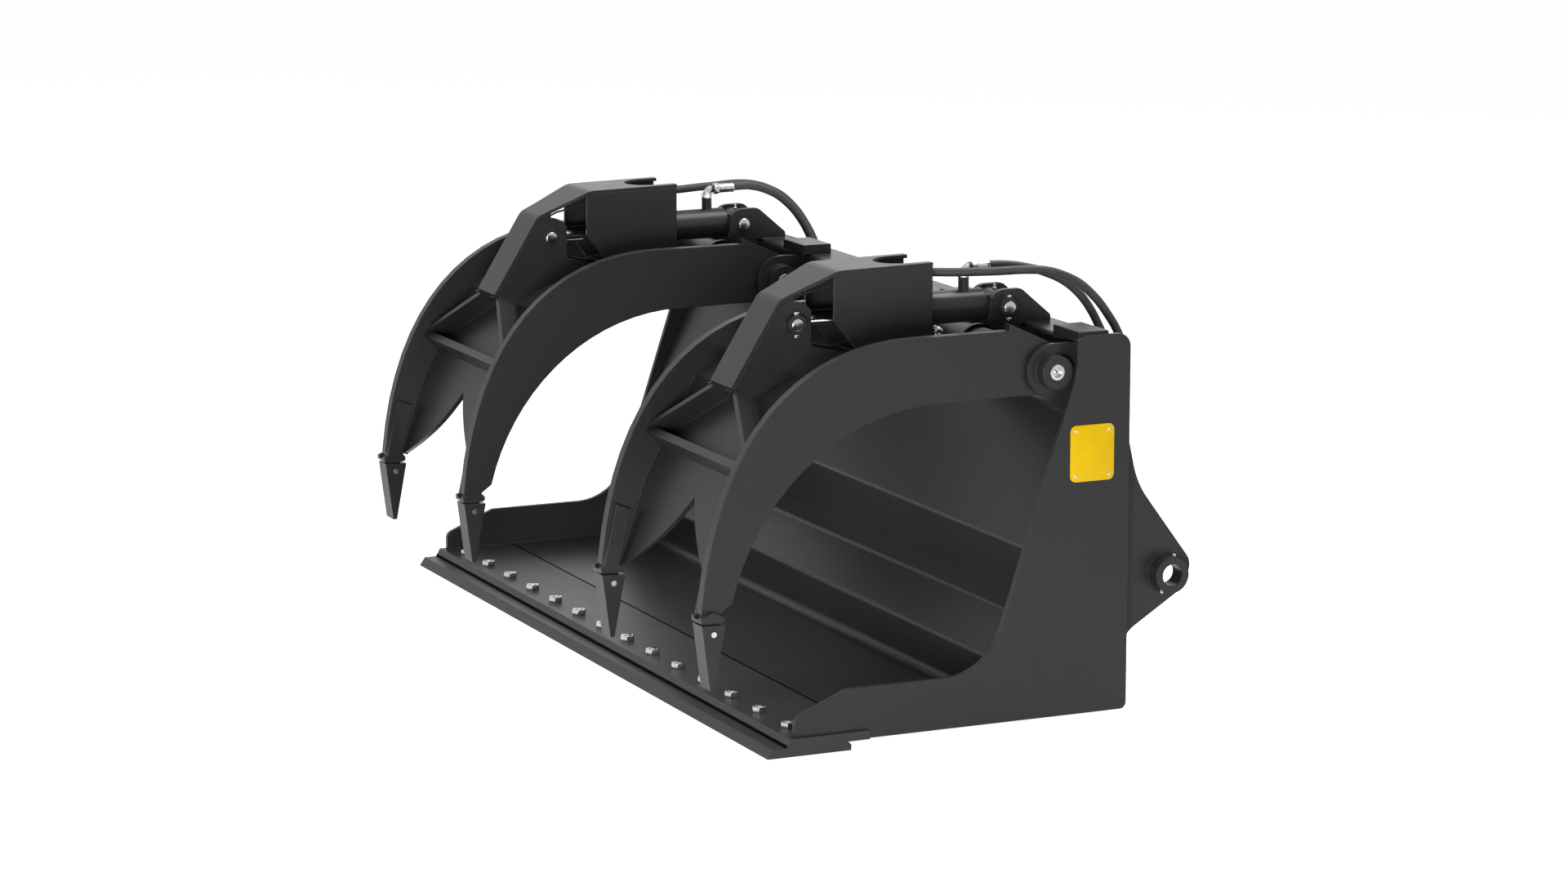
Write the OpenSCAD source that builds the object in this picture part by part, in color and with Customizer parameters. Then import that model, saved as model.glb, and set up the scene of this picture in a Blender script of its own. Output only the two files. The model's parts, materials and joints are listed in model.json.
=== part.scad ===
// Grapple bucket: a wide bucket with a bolt-on edge and two hydraulic grapples.
// +Z up, the open mouth faces -Y, +X is the right-hand side. Millimetres.
// Profiles are drawn as [y, z] points, with y = 0 at the back line of the side plates.

/* [Bucket] */
// Width over the side plates
bucket_w = 2160; // [2120:10:2600]
// Thickness of a side plate
side_t = 12; // [8:1:16]
// Top of the side plates above the ground
side_top = 881; // [872:1:920]
// Depth of the upright post of a side plate
post_d = 133; // [128:1:150]
// Reach of the side plates in front of the back line
side_reach = 825; // [800:1:840]
// Height of the low front rail above the ground
rail_h = 136; // [110:1:170]
// Distance from the back line to the knee of the side plate
knee_d = 352; // [345:1:380]
// Thickness of the floor sheet and the back sheet
sheet_t = 8; // [6:1:12]
// Distance from the back line to the foot of the upturned floor
nose_d = 288; // [270:1:300]
// Height of the floor nose above the floor
nose_h = 110; // [80:1:130]

/* [Cutting edges] */
// Thickness of the bolt-on edge
edge_t = 20; // [16:1:25]
// Width of the bolt-on edge, front to back
edge_w = 202; // [180:1:210]
// Reach of the bolt-on edge in front of the back line
edge_reach = 894; // [885:1:910]
// Thickness of the welded base edge
base_t = 20; // [16:1:25]
// Width of the welded base edge, front to back
base_w = 203; // [190:1:220]
// Distance from the bolt-on edge's front back to the base edge's front
base_setback = 45; // [34:1:52]
// Length of the edges beyond each side plate
edge_over = 10; // [2:1:20]
// Distance from the end of an edge to its last bolt
bolt_end = 99.4; // [80:0.2:110]
// Number of edge bolts
bolt_n = 14; // [8:2:14]
// Diameter of an edge bolt
bolt_d = 20; // [16:1:22]
// Distance from the bolt-on edge's front to the bolts
bolt_in = 95; // [90:1:105]

/* [Back frame] */
// Height of the top beam
beam_h = 152; // [130:1:160]
// Depth of the top beam
beam_d = 104; // [96:1:106]
// Top of the beam above the ground
beam_top = 864; // [860:1:868]
// Wall of the top beam
beam_wall = 8; // [6:1:12]
// Thickness of the back ribs
rib_t = 10; // [8:1:16]
// Width of a heel wear strip
heel_w = 80; // [60:5:110]

/* [Hinge plates] */
// Diameter of the hinge bore
hinge_bore = 50; // [40:1:56]
// Outer diameter of a hinge boss
hinge_boss_d = 84; // [76:1:92]
// Length of the outer hinge boss
hinge_boss_l = 44; // [40:1:60]
// Thickness of a hinge plate
hinge_t = 20; // [15:1:25]
// Free gap between the two hinge plates of a side
hinge_gap = 120; // [70:5:130]
// Hinge axis behind the back line
hinge_y = 124; // [115:1:135]
// Hinge axis above the ground
hinge_z = 313; // [300:1:330]

/* [Grapples] */
// Distance from a side plate to the middle of its grapple
grapple_inset = 345; // [342:1:420]
// Distance between the two tines of a grapple
tine_gap = 564; // [520:2:564]
// Thickness of a tine
tine_t = 25; // [20:1:30]
// Pivot of the grapples in front of the back line
pivot_d = 174; // [172:1:190]
// Pivot of the grapples above the ground
pivot_z = 800; // [796:1:803]
// Radius of the hub end of a tine
hub_r = 58; // [54:1:58]
// Outer diameter of the hub tube
tube_d = 90; // [84:1:92]
// Top of the tines above the ground
tine_top = 893; // [880:1:905]
// Depth of a tine at its crown
tine_depth = 151; // [135:1:160]
// Thickness of the web plate
web_t = 14; // [10:1:20]
// Thickness of the diagonal braces
brace_t = 12; // [8:1:16]
// Thickness of a spine rib
spine_t = 12; // [10:1:14]
// Inner gap between the two spine ribs
spine_gap = 92; // [92:1:96]
// Thickness of the folded strip
strip_t = 8; // [6:1:10]
// Half width of the guard
guard_half = 77; // [74:1:84]
// Wall of the guard sides
guard_t = 6; // [4:1:8]

/* [Teeth] */
// Width of a tooth
tooth_w = 52; // [46:1:60]
// Depth of a tooth at its root
tooth_d = 56; // [50:1:60]
// Length of a tooth
tooth_l = 145; // [120:1:160]
// Height of the tooth root above the ground
tooth_z = 297; // [280:1:310]
// Middle of the teeth in front of the back line
tooth_y = 995; // [990:1:1000]
// Diameter of a tooth pin
tooth_pin_d = 13; // [10:1:16]

/* [Pins and lugs] */
// Diameter of the tine pivot pins
pivot_pin_d = 36; // [30:1:40]
// Outer diameter of a pivot boss
pivot_boss_d = 76; // [66:1:84]
// Length of a pivot boss beyond its lug
pivot_boss_l = 30; // [20:1:30]
// Thickness of a pivot lug
lug_t = 12; // [10:1:14]
// Radius of a pivot lug
lug_r = 60; // [58:1:62]
// Diameter of the cylinder pins
cyl_pin_d = 30; // [25:1:32]
// Thickness of a cylinder lug
cyl_lug_t = 15; // [12:1:18]
// Width of the base eye of a cylinder
base_eye_w = 76; // [76:1:84]

/* [Hydraulics] */
// Outer diameter of the cylinder barrel
barrel_d = 76; // [70:1:80]
// Bore of the cylinder barrel
barrel_bore = 63; // [56:1:64]
// Diameter of the piston rod
rod_d = 35; // [30:1:40]
// Length from the rear pin to the gland face
barrel_l = 390; // [370:1:392]
// Diameter of a hose
hose_d = 20; // [16:1:22]

/* [Hidden] */
$fn = 64;

// Clearances
run_gap = 0.05;   // radial running fit of a pin
weld_gap = 0.1;   // round parts welded into a hole
side_gap = 0.5;   // between two parts that turn past each other
link_gap = 6.6;   // play of the open pivot at the rod eye
arc_n = 8;        // steps of a rounded corner
curve_n = 16;     // steps of a long curve

// Paint and metal
charcoal = [0.17, 0.17, 0.175];
edge_grey = [0.2, 0.2, 0.205];
zinc = [0.78, 0.78, 0.76];
chrome = [0.82, 0.83, 0.85];
rubber = [0.06, 0.06, 0.065];

// Corner, sheet and curve functions
function unit(v) = v / norm(v);
function turn(a, b) = (b - a + 540) % 360 - 180;
function corner(a, b, c, r) =
  let (p = [a[0], a[1]], q = [b[0], b[1]], s = [c[0], c[1]],
    u = unit(p - q), v = unit(s - q), half = acos(max(-1, min(1, u * v))) / 2,
    m = q + unit(u + v) * r / sin(half), t0 = q + u * r / tan(half), t1 = q + v * r / tan(half),
    a0 = atan2(t0[1] - m[1], t0[0] - m[0]), a1 = atan2(t1[1] - m[1], t1[0] - m[0]))
  [for (i = [0 : arc_n]) m + r * [cos(a0 + turn(a0, a1) * i / arc_n), sin(a0 + turn(a0, a1) * i / arc_n)]];
function outline(P) = let (n = len(P)) [for (i = [0 : n - 1])
  each (P[i][2] > 0 ? corner(P[(i + n - 1) % n], P[i], P[(i + 1) % n], P[i][2])
    : [[P[i][0], P[i][1]]])];
function open_line(P) = let (n = len(P)) [for (i = [0 : n - 1])
  each (i > 0 && i < n - 1 && P[i][2] > 0 ? corner(P[i - 1], P[i], P[i + 1], P[i][2])
    : [[P[i][0], P[i][1]]])];
function right_of(a, b) = let (d = unit([b[0] - a[0], b[1] - a[1]])) [d[1], -d[0]];
function bend_sign(a, b, c) = cross([b[0] - a[0], b[1] - a[1]], [c[0] - b[0], c[1] - b[1]]);
function beside(P, t) = let (n = len(P)) [for (i = [0 : n - 1])
  let (n1 = right_of(P[max(i - 1, 0)], P[max(i, 1)]),
    n2 = right_of(P[min(i, n - 2)], P[min(i + 1, n - 1)]),
    s = t / (1 + n1 * n2),
    r = i > 0 && i < n - 1 ? P[i][2] + t * sign(bend_sign(P[i - 1], P[i], P[i + 1])) : 0)
  [P[i][0] + s * (n1[0] + n2[0]), P[i][1] + s * (n1[1] + n2[1]), r]];
function reversed(L) = [for (i = [len(L) - 1 : -1 : 0]) L[i]];
function sheet(P, t) = concat(open_line(P), reversed(open_line(beside(P, t))));
function curve(a, b, c, d) = [for (i = [0 : curve_n]) let (t = i / curve_n)
  pow(1 - t, 3) * a + 3 * pow(1 - t, 2) * t * b + 3 * (1 - t) * t * t * c + t * t * t * d];
function along(a, b, l) = [a[0], a[1]] + unit([b[0] - a[0], b[1] - a[1]]) * l;

// Bucket sizes
half_in = bucket_w / 2 - side_t;
grapple_x = half_in - grapple_inset;
base_top = edge_t + base_t;
base_reach = edge_reach - base_setback;
base_rear = base_reach - base_w;
bolt_pitch = (bucket_w + 2 * edge_over - 2 * bolt_end) / (bolt_n - 1);
side_bottom = edge_t;
far = 1500;
beam_back = 6;
beam_front = beam_back + beam_d;
beam_bottom = beam_top - beam_h;
flange_h = 30;
bolt_y = -(edge_reach - bolt_in);
nut_af = 1.5 * bolt_d;
nut_h = 0.8 * bolt_d;
head_d = 1.9 * bolt_d;
head_h = 0.7 * bolt_d;
heel_t = base_top - sheet_t - edge_t;

// Inner surface of the floor and back sheets, front to top
ledge_back = [-(nose_d - 83), base_top + nose_h + 76, 12];
undercut_top = [-(nose_d - 38), base_top + 368, sheet_t + 12];
floor_path = [[-base_rear, base_top], [-nose_d, base_top, 20],
  [-(nose_d + 15), base_top + nose_h, sheet_t + 10], ledge_back,
  along(ledge_back, undercut_top, 50)];
back_path = [along(ledge_back, undercut_top, 50), undercut_top,
  [-(beam_front + sheet_t), beam_bottom - 6, sheet_t + 20],
  [-(beam_front + sheet_t), beam_bottom + flange_h]];
full_path = concat([for (i = [0 : 3]) floor_path[i]], [for (i = [1 : 3]) back_path[i]]);

// Hinge plates
hinge_boss_out = half_in - 2;
hinge_out = hinge_boss_out - hinge_boss_l + 7;
hinge_in = hinge_out - hinge_t - hinge_gap;
hinge_ring_l = hinge_t + 22;
hinge_bolt_d = 8;
hinge_bolt_x = hinge_boss_out - 25;
hinge_corners = [[-beam_back, beam_bottom, 0], [8, beam_bottom, 10],
  [hinge_y - 74, hinge_z + 212, 200], [hinge_y + 67, hinge_z + 22, 36],
  [hinge_y + 56, hinge_z - 35, 34], [hinge_y - 91, hinge_z - 126, 80],
  [-beam_back - 60, base_top - sheet_t, 20], [-nose_d, base_top - sheet_t, 0],
  [-nose_d, undercut_top[1], 0], [-beam_front, beam_bottom, 0]];

// Pivot, lugs and pins
pivot = [-pivot_d, pivot_z];
tine_off = tine_gap / 2;
hub_end = tine_off + tine_t / 2 + 3;
lug_in = hub_end + side_gap;
boss_out = lug_in + lug_t + pivot_boss_l;
pin_in = hub_end - 60;
rear_back = 16;
rear_rise = 106;
rod_reach = 514;
rod_rise = 103;
rear_pin = [-(pivot_d - rear_back), pivot_z + rear_rise];
rod_pin = [-(pivot_d + rod_reach), pivot_z + rod_rise];
cyl_angle = atan2(rod_pin[1] - rear_pin[1], rear_pin[0] - rod_pin[0]);
cyl_len = norm(rod_pin - rear_pin);
rod_eye_w = spine_gap - 40;
cyl_lug_in = base_eye_w / 2 + 1;
eye_r = 32;
stop_h = side_top - beam_top + 7;
stop_l = 123;

// Grapple outlines
tooth_front = -(tooth_y + tooth_d / 2);
adapter_z = tooth_z + 5;
roof_z = adapter_z + 25;
plate_z = adapter_z + 9;
mid_y = (tooth_y + tooth_d / 2 + 3 - max([for (p = outline(hinge_corners)) p[0]])) / 2;
guard_gap = 179;
guard_l = 188;
guard_h = 222;
strip_reach = 667;
guard_back = -(pivot_d + guard_gap);
guard_front = guard_back - guard_l;
strip_path = [[-(pivot_d + strip_reach), pivot_z - 31],
  [-(pivot_d + strip_reach - 117), pivot_z + guard_h - 64, 40],
  [guard_front - 47, pivot_z + guard_h - 4, 60], [guard_back, pivot_z + guard_h]];
seat_z = pivot_z + 26;
web_path = [[-(tooth_y - 21), roof_z - 6], [-(tooth_y - 88), tooth_z + 222, 500],
  [-(tooth_y - 212), pivot_z - 56]];
web_end = web_path[2];
web_foot = along(web_end, web_path[1], 50);
web_end_back = [for (i = [0 : 1]) beside(web_path, web_t)[2][i]];
rib_half_in = spine_gap / 2;
rib_half_out = rib_half_in + spine_t;

module placed() { translate([0, mid_y, 0]) children(); }
module plate(x, t) { translate([x, 0, 0]) rotate([90, 0, 90]) linear_extrude(t) children(); }
module rod_x(x0, x1, d, at) {
  translate([x0, at[0], at[1]]) rotate([0, 90, 0]) cylinder(d = d, h = x1 - x0);
}
module both_sides() { children(); mirror([1, 0, 0]) children(); }
module at_grapple() { translate([grapple_x, 0, 0]) children(); }
module at_tines() { for (s = [-1, 1]) translate([s * tine_off, 0, 0]) children(); }

// Side plates, with a low rail, a swept knee and a tall post
module side_profile() {
  polygon(outline([[0, side_bottom, 15], [0, side_top, 32], [-post_d, side_top, 24],
    [-post_d, pivot_z, 150], [-knee_d, rail_h, 140], [-(side_reach - 128), rail_h, 25],
    [-side_reach, rail_h - 54, 20], [-side_reach, base_top, 0], [-base_rear, base_top, 0],
    [-base_rear, side_bottom, 0]]));
}
module side_plate() { color(charcoal) plate(half_in, side_t) side_profile(); }
module side_plate_right() { placed() side_plate(); }
module side_plate_left() { placed() mirror([1, 0, 0]) side_plate(); }

// Floor with its upturned nose and ledge, and the folded back sheet
module across() { plate(-half_in, 2 * half_in) children(); }
module floor_sheet() { color(charcoal) placed() across() polygon(sheet(floor_path, sheet_t)); }
module back_sheet() { color(charcoal) placed() across() polygon(sheet(back_path, sheet_t)); }

// Everything in front of the sheets' back surface, and everything behind their front surface
module before_sheets() {
  polygon(concat(open_line(beside(full_path, sheet_t)),
    [[-far, beam_bottom + flange_h], [-far, base_top - sheet_t]]));
}
module behind_sheets() {
  polygon(concat(open_line(full_path), [[far, beam_bottom + flange_h], [far, base_top]]));
}

// Cutting edges
module bolt_holes(d) {
  for (i = [0 : bolt_n - 1]) translate([(i - (bolt_n - 1) / 2) * bolt_pitch, bolt_y, 0])
    cylinder(d = d, h = base_top * 2);
}
module countersinks(gap) {
  for (i = [0 : bolt_n - 1]) translate([(i - (bolt_n - 1) / 2) * bolt_pitch, bolt_y, 0])
    cylinder(d1 = head_d + gap, d2 = bolt_d + gap, h = head_h);
}
module edge_bar(profile) {
  plate(-(bucket_w / 2 + edge_over), bucket_w + 2 * edge_over) polygon(profile);
}
module base_edge() {
  color(edge_grey) placed() difference() {
    edge_bar([[-base_reach, edge_t], [-(base_reach - 11), base_top], [-base_rear, base_top],
      [-base_rear, edge_t]]);
    bolt_holes(bolt_d + 2 * weld_gap);
  }
}
module bolt_on_edge() {
  color(edge_grey) placed() difference() {
    edge_bar([[-edge_reach, 0], [-(edge_reach - 14), edge_t], [-(edge_reach - edge_w + 7), edge_t],
      [-(edge_reach - edge_w), edge_t - 7], [-(edge_reach - edge_w), 0]]);
    bolt_holes(bolt_d + 2 * weld_gap);
    countersinks(2 * weld_gap);
  }
}
module edge_bolts() {
  color(zinc) placed() intersection() {
    union() {
      bolt_holes(bolt_d);
      countersinks(0);
    }
    translate([-far, -far, 0.5]) cube([2 * far, 2 * far, base_top + nut_h + 4]);
  }
}
module edge_nuts() {
  color(zinc) placed() for (i = [0 : bolt_n - 1])
    translate([(i - (bolt_n - 1) / 2) * bolt_pitch, bolt_y, base_top]) difference() {
      cylinder(d = nut_af / cos(30), h = nut_h, $fn = 6);
      translate([0, 0, -1]) cylinder(d = bolt_d + 2 * weld_gap, h = nut_h + 2);
    }
}

// Top beam, back ribs, heel plate and wear strips
module box_ring(y0, y1, z0, z1, r, w) {
  difference() {
    polygon(outline([[y0, z0, r], [y1, z0, r], [y1, z1, r], [y0, z1, r]]));
    polygon(outline([[y0 + w, z0 + w, r / 2], [y1 - w, z0 + w, r / 2], [y1 - w, z1 - w, r / 2],
      [y0 + w, z1 - w, r / 2]]));
  }
}
module top_beam() {
  color(charcoal) placed() across()
    box_ring(-beam_front, -beam_back, beam_bottom, beam_top, 12, beam_wall);
}
module rib_profile() {
  difference() {
    polygon(outline([[-nose_d, base_top - sheet_t, 0], [-beam_back, base_top - sheet_t, 20],
      [-beam_back - 60, base_top + 260, 200], [-beam_back - 20, beam_bottom, 0],
      [-beam_front, beam_bottom, 0], [-nose_d, undercut_top[1], 0]]));
    before_sheets();
  }
}
module back_ribs() {
  color(charcoal) placed() for (i = [0 : 3])
    plate((i - 1.5) * 2 / 5 * (hinge_in - hinge_t) - rib_t / 2, rib_t) rib_profile();
}
module heel_plate() {
  color(charcoal) placed() plate(-half_in, 2 * half_in)
    polygon([[-nose_d, edge_t], [-beam_back, edge_t], [-beam_back, edge_t + heel_t],
      [-nose_d, edge_t + heel_t]]);
}
module wear_strips() {
  color(edge_grey) placed() for (i = [0 : 3]) plate((i - 1.5) / 2 * half_in - heel_w / 2, heel_w)
    polygon([[-nose_d, edge_t], [-nose_d + edge_t, 0], [-beam_back - edge_t - 10, 0],
      [-beam_back - 10, edge_t]]);
}

// Hinge plates, each with a bored boss
module hinge_profile() {
  difference() {
    polygon(outline(hinge_corners));
    before_sheets();
    translate([hinge_y, hinge_z]) circle(d = hinge_boss_d + 2 * weld_gap);
  }
}
module hinge_plates() {
  color(charcoal) for (x = [hinge_in - hinge_t, hinge_out - hinge_t]) plate(x, hinge_t) hinge_profile();
}
module hinge_plates_right() { placed() hinge_plates(); }
module hinge_plates_left() { placed() mirror([1, 0, 0]) hinge_plates(); }
module hinge_bolt_axis() {
  translate([hinge_bolt_x, hinge_y, hinge_z]) rotate([-21, 0, 0]) children();
}
module hinge_bosses() {
  color(charcoal) placed() both_sides() difference() {
    union() {
      rod_x(hinge_boss_out - hinge_boss_l, hinge_boss_out, hinge_boss_d, [hinge_y, hinge_z]);
      rod_x(hinge_in - hinge_ring_l, hinge_in, hinge_boss_d, [hinge_y, hinge_z]);
    }
    rod_x(0, bucket_w, hinge_bore, [hinge_y, hinge_z]);
    hinge_bolt_axis() for (s = [0, 1]) mirror([0, 0, s]) translate([0, 0, hinge_bore / 2 - 5])
      cylinder(d = hinge_bolt_d + 2 * weld_gap, h = hinge_boss_d);
  }
}
module hinge_bolts() {
  color(zinc) placed() both_sides() hinge_bolt_axis() for (s = [0, 1]) mirror([0, 0, s]) {
    translate([0, 0, hinge_bore / 2 + 1]) cylinder(d = hinge_bolt_d, h = hinge_boss_d / 2 - hinge_bore / 2);
    translate([0, 0, hinge_boss_d / 2 + 1]) cylinder(d = 1.9 * hinge_bolt_d, h = 5, $fn = 6);
  }
}

// Tine pivot lugs, bosses and pins
lug_slope = 34;
lug_drop = lug_r * tan((90 - lug_slope) / 2);
collar_l = 5;
foot_in = 217;
foot_t = 7;
foot_y = -pivot_d - 2;
function lug_low(y) = pivot_z - lug_drop - (pivot_d + lug_r + y) * tan(lug_slope);
module lug_foot_profile() {
  difference() {
    polygon([[foot_y, lug_low(foot_y)], [foot_y, lug_low(foot_y) + foot_t],
      [-beam_front, lug_low(-beam_front) + foot_t], [-beam_front, lug_low(-beam_front)]]);
    behind_sheets();
  }
}
module lug_profile() {
  difference() {
    polygon(outline([[-beam_front, pivot_z + lug_r - 1, 0],
      [-beam_front - 1, pivot_z + lug_r, 0],
      [-pivot_d - lug_r, pivot_z + lug_r, lug_r], [-pivot_d - lug_r, pivot_z - lug_drop, lug_r],
      [-beam_front, lug_low(-beam_front), 0]]));
    behind_sheets();
    translate(pivot) circle(d = pivot_pin_d + 2 * run_gap);
  }
}
module at_lugs() { for (s = [0, 1]) mirror([s, 0, 0]) children(); }
module pivot_lugs() {
  color(charcoal) placed() both_sides() at_grapple() at_lugs() {
    plate(lug_in, lug_t) lug_profile();
    plate(foot_in, lug_in - foot_in + 1) lug_foot_profile();
  }
}
module pivot_bosses() {
  color(charcoal) placed() both_sides() at_grapple() at_lugs() difference() {
    rod_x(lug_in + lug_t, boss_out, pivot_boss_d, pivot);
    rod_x(lug_in, boss_out + 1, pivot_pin_d + 2 * run_gap, pivot);
  }
}
module pivot_pins() {
  color(zinc) placed() both_sides() at_grapple() at_lugs() difference() {
    union() {
      rod_x(pin_in, boss_out - 1, pivot_pin_d, pivot);
      rod_x(boss_out - 1, boss_out + 1, pivot_pin_d - 3, pivot);
    }
    rod_x(boss_out - 3, boss_out + 2, pivot_pin_d - 12, pivot);
  }
}

// Cylinder lugs on the beam, rear pins and stop blocks
module cylinder_lug_profile() {
  lug_top = eye_r + 7;
  difference() {
    polygon(outline([[-42, beam_top, 0], [-42, beam_top + 16, 8], [rear_pin[0] + 40, rear_pin[1] + lug_top, 20],
      [rear_pin[0] - lug_top, rear_pin[1] + lug_top, lug_top - 1], [rear_pin[0] - lug_top, beam_top, 24]]));
    translate(rear_pin) circle(d = cyl_pin_d + 2 * run_gap);
  }
}
module cylinder_lugs() {
  color(charcoal) placed() both_sides() at_grapple() {
    at_lugs() plate(cyl_lug_in, cyl_lug_t) cylinder_lug_profile();
    collar(rear_pin, cyl_lug_in + cyl_lug_t);
  }
}
module collar(at, x) {
  difference() {
    rod_x(x, x + collar_l, cyl_pin_d + 14, at);
    rod_x(x - 1, x + collar_l + 1, cyl_pin_d + 2 * run_gap, at);
  }
}
module pin_end(x, s, d) {
  translate([x, 0, 0]) rotate([0, 90 * s, 0]) cylinder(d1 = d, d2 = d - 9, h = 4);
}
module cross_bolted_pin(at, half_l, out) {
  translate([0, at[0], at[1]]) {
    difference() {
      union() {
        rod_x(-half_l - 2, half_l + out - 4, cyl_pin_d, [0, 0]);
        pin_end(-half_l - 2, -1, cyl_pin_d);
        pin_end(half_l + out - 4, 1, cyl_pin_d);
      }
      translate([half_l + out - 9, 0, 0]) cylinder(d = 8 + 2 * weld_gap, h = 2 * cyl_pin_d, center = true);
    }
    translate([half_l + out - 9, 0, 0]) {
      cylinder(d = 8, h = cyl_pin_d + 20, center = true);
      for (s = [0, 1]) mirror([0, 0, s]) translate([0, 0, cyl_pin_d / 2 + 0.3]) cylinder(d = 15, h = 7, $fn = 6);
    }
  }
}
module rear_pins() {
  color(zinc) placed() both_sides() at_grapple() cross_bolted_pin(rear_pin, cyl_lug_in + cyl_lug_t, 26);
}
module stop_blocks() {
  color(charcoal) placed() both_sides() at_grapple() at_lugs() plate(grapple_inset - stop_l, stop_l)
    polygon(outline([[-beam_front - 14, beam_top, 0], [-50, beam_top, 0],
      [-50, beam_top + stop_h, 3], [-beam_front - 14, beam_top + stop_h, 3]]));
}

// Hose bulkhead on the back of the beam, with four fittings
bulkhead_z = beam_bottom - 40;
hose_x = [60, 100];
module bulkhead_fitting(x) {
  translate([x, -beam_back + 12, bulkhead_z]) rotate([-90, 0, 0]) {
    cylinder(d = 30, h = 12, $fn = 6);
    translate([0, 0, 12]) cylinder(d = hose_d + 4, h = 22);
  }
}
module hose_bulkhead() {
  color(charcoal) placed() both_sides() at_grapple() {
    translate([hose_x[0] - 24, -beam_back, bulkhead_z - 26])
      cube([hose_x[1] - hose_x[0] + 48, 12, beam_bottom - bulkhead_z + 70]);
    for (x = hose_x) bulkhead_fitting(x);
  }
}

// Tines: a curved plate with a hub end, a raised stop corner and a slim toe
crown_y = -(pivot_d + 326);
toe_front = tooth_front + 5;
toe_back = -(tooth_y - 49);
tine_low = tine_top - tine_depth;
stop_corner = [-(pivot_d + 97), tine_top + 16];
module tine_profile() {
  difference() {
    union() {
      translate(pivot) circle(r = hub_r);
      polygon(concat([[-(pivot_d - 24), pivot_z + 52], stop_corner, [stop_corner[0], tine_top],
        [crown_y, tine_top]],
        curve([crown_y, tine_top], [crown_y - 285, tine_top], [toe_front + 37, roof_z + 375],
          [toe_front, roof_z + 3]),
        [[toe_front, plate_z], [-(tooth_y - 18), plate_z], [-(tooth_y - 24), roof_z - 6]],
        curve([toe_back, roof_z + 12], [toe_back + 56, roof_z + 230], [crown_y - 210, tine_low - 18],
          [crown_y + 20, tine_low]),
        [[-(pivot_d + 110), tine_low + 3], [-(pivot_d + 20), pivot_z - hub_r + 2]]));
    }
    translate(pivot) circle(d = tube_d + 2 * weld_gap);
  }
}
module tine() { color(charcoal) plate(-tine_t / 2, tine_t) tine_profile(); }
module outer_tine() { at_grapple() translate([tine_off, 0, 0]) tine(); }
module inner_tine() { at_grapple() translate([-tine_off, 0, 0]) tine(); }

// Web plate with a pointed arch, and the cross bar on its front
web_half = tine_off - tine_t / 2;
arch_top = tooth_z + 221;
arch_foot = roof_z - 6;
module arch() {
  side = curve([0, arch_top], [70, arch_top - 90], [web_half * 0.56, arch_foot + 55],
    [web_half - 8, arch_foot - 1]);
  translate([0, far / 2, 0]) rotate([90, 0, 0]) linear_extrude(2 * far)
    polygon(concat(side, [[web_half - 8, 0], [8 - web_half, 0]], [for (p = reversed(side)) [-p[0], p[1]]]));
}
web_lean = atan2(web_path[2][1] - web_path[1][1], web_path[2][0] - web_path[1][0]);
module cross_bar() {
  plate(-web_half, 2 * web_half) translate(web_foot) rotate(web_lean)
    polygon([[-133, -0.01], [-119, 52], [-100, 43], [-112, -0.01]]);
}
module web() {
  color(charcoal) at_grapple() {
    difference() {
      union() {
        plate(-web_half, 2 * web_half) polygon(sheet(web_path, web_t));
        difference() {
          cross_bar();
          at_lugs() brace();
        }
      }
      arch();
    }
  }
}

// Diagonal braces from the spine down to the tines, standing on the web
brace_top = 45;
brace_drop = 138;
brace_rise = brace_t / cos(atan2(brace_drop, web_half - rib_half_out));
module brace() {
  translate([0, web_foot[0], web_foot[1]]) rotate([web_lean, 0, 0]) linear_extrude(52)
    polygon([[rib_half_out, brace_top], [web_half, brace_top - brace_drop],
      [web_half, brace_top - brace_drop - brace_rise], [rib_half_out, brace_top - brace_rise]]);
}
module braces() { color(charcoal) at_grapple() at_lugs() brace(); }

// Spine: two long ribs from the strip back to the hub, with the rod-pin ears
ear_r = 50;
spine_hub_r = 52;
module above_strip(t) {
  polygon(concat(open_line(beside(strip_path, t)), [[0, far], [-far, far], [-far, strip_path[0][1]]]));
}
module spine_profile() {
  difference() {
    union() {
      translate(pivot) circle(r = spine_hub_r);
      difference() {
        polygon(concat(
          outline([[-(pivot_d + 30), seat_z, 0], [guard_front - 12, seat_z, 60],
            [rod_pin[0] + 42, seat_z + 24, 10], [rod_pin[0] + 42, rod_pin[1] + ear_r, ear_r - 8],
            [rod_pin[0] - 20, far, 0], [-far, far, 0], [strip_path[0][0] - 4, strip_path[0][1] - 8, 0]]),
          [web_end, web_end_back],
          curve(web_end_back, web_end_back + [90, 60], [crown_y - 60, pivot_z - 32],
            [crown_y + 40, pivot_z - 40]),
          [[-(pivot_d + 10), pivot_z - spine_hub_r + 1]]));
        above_strip(strip_t);
        difference() {
          polygon([[rod_pin[0], rod_pin[1]], [rod_pin[0], far], [0, far], [0, rod_pin[1]]]);
          translate(rod_pin) circle(r = ear_r);
        }
      }
    }
    translate(pivot) circle(d = tube_d + 2 * weld_gap);
    translate(rod_pin) circle(d = cyl_pin_d + 2 * run_gap);
  }
}
module spine() {
  color(charcoal) at_grapple() {
    at_lugs() plate(rib_half_in, spine_t) spine_profile();
    collar(rod_pin, rib_half_out);
  }
}

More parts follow.
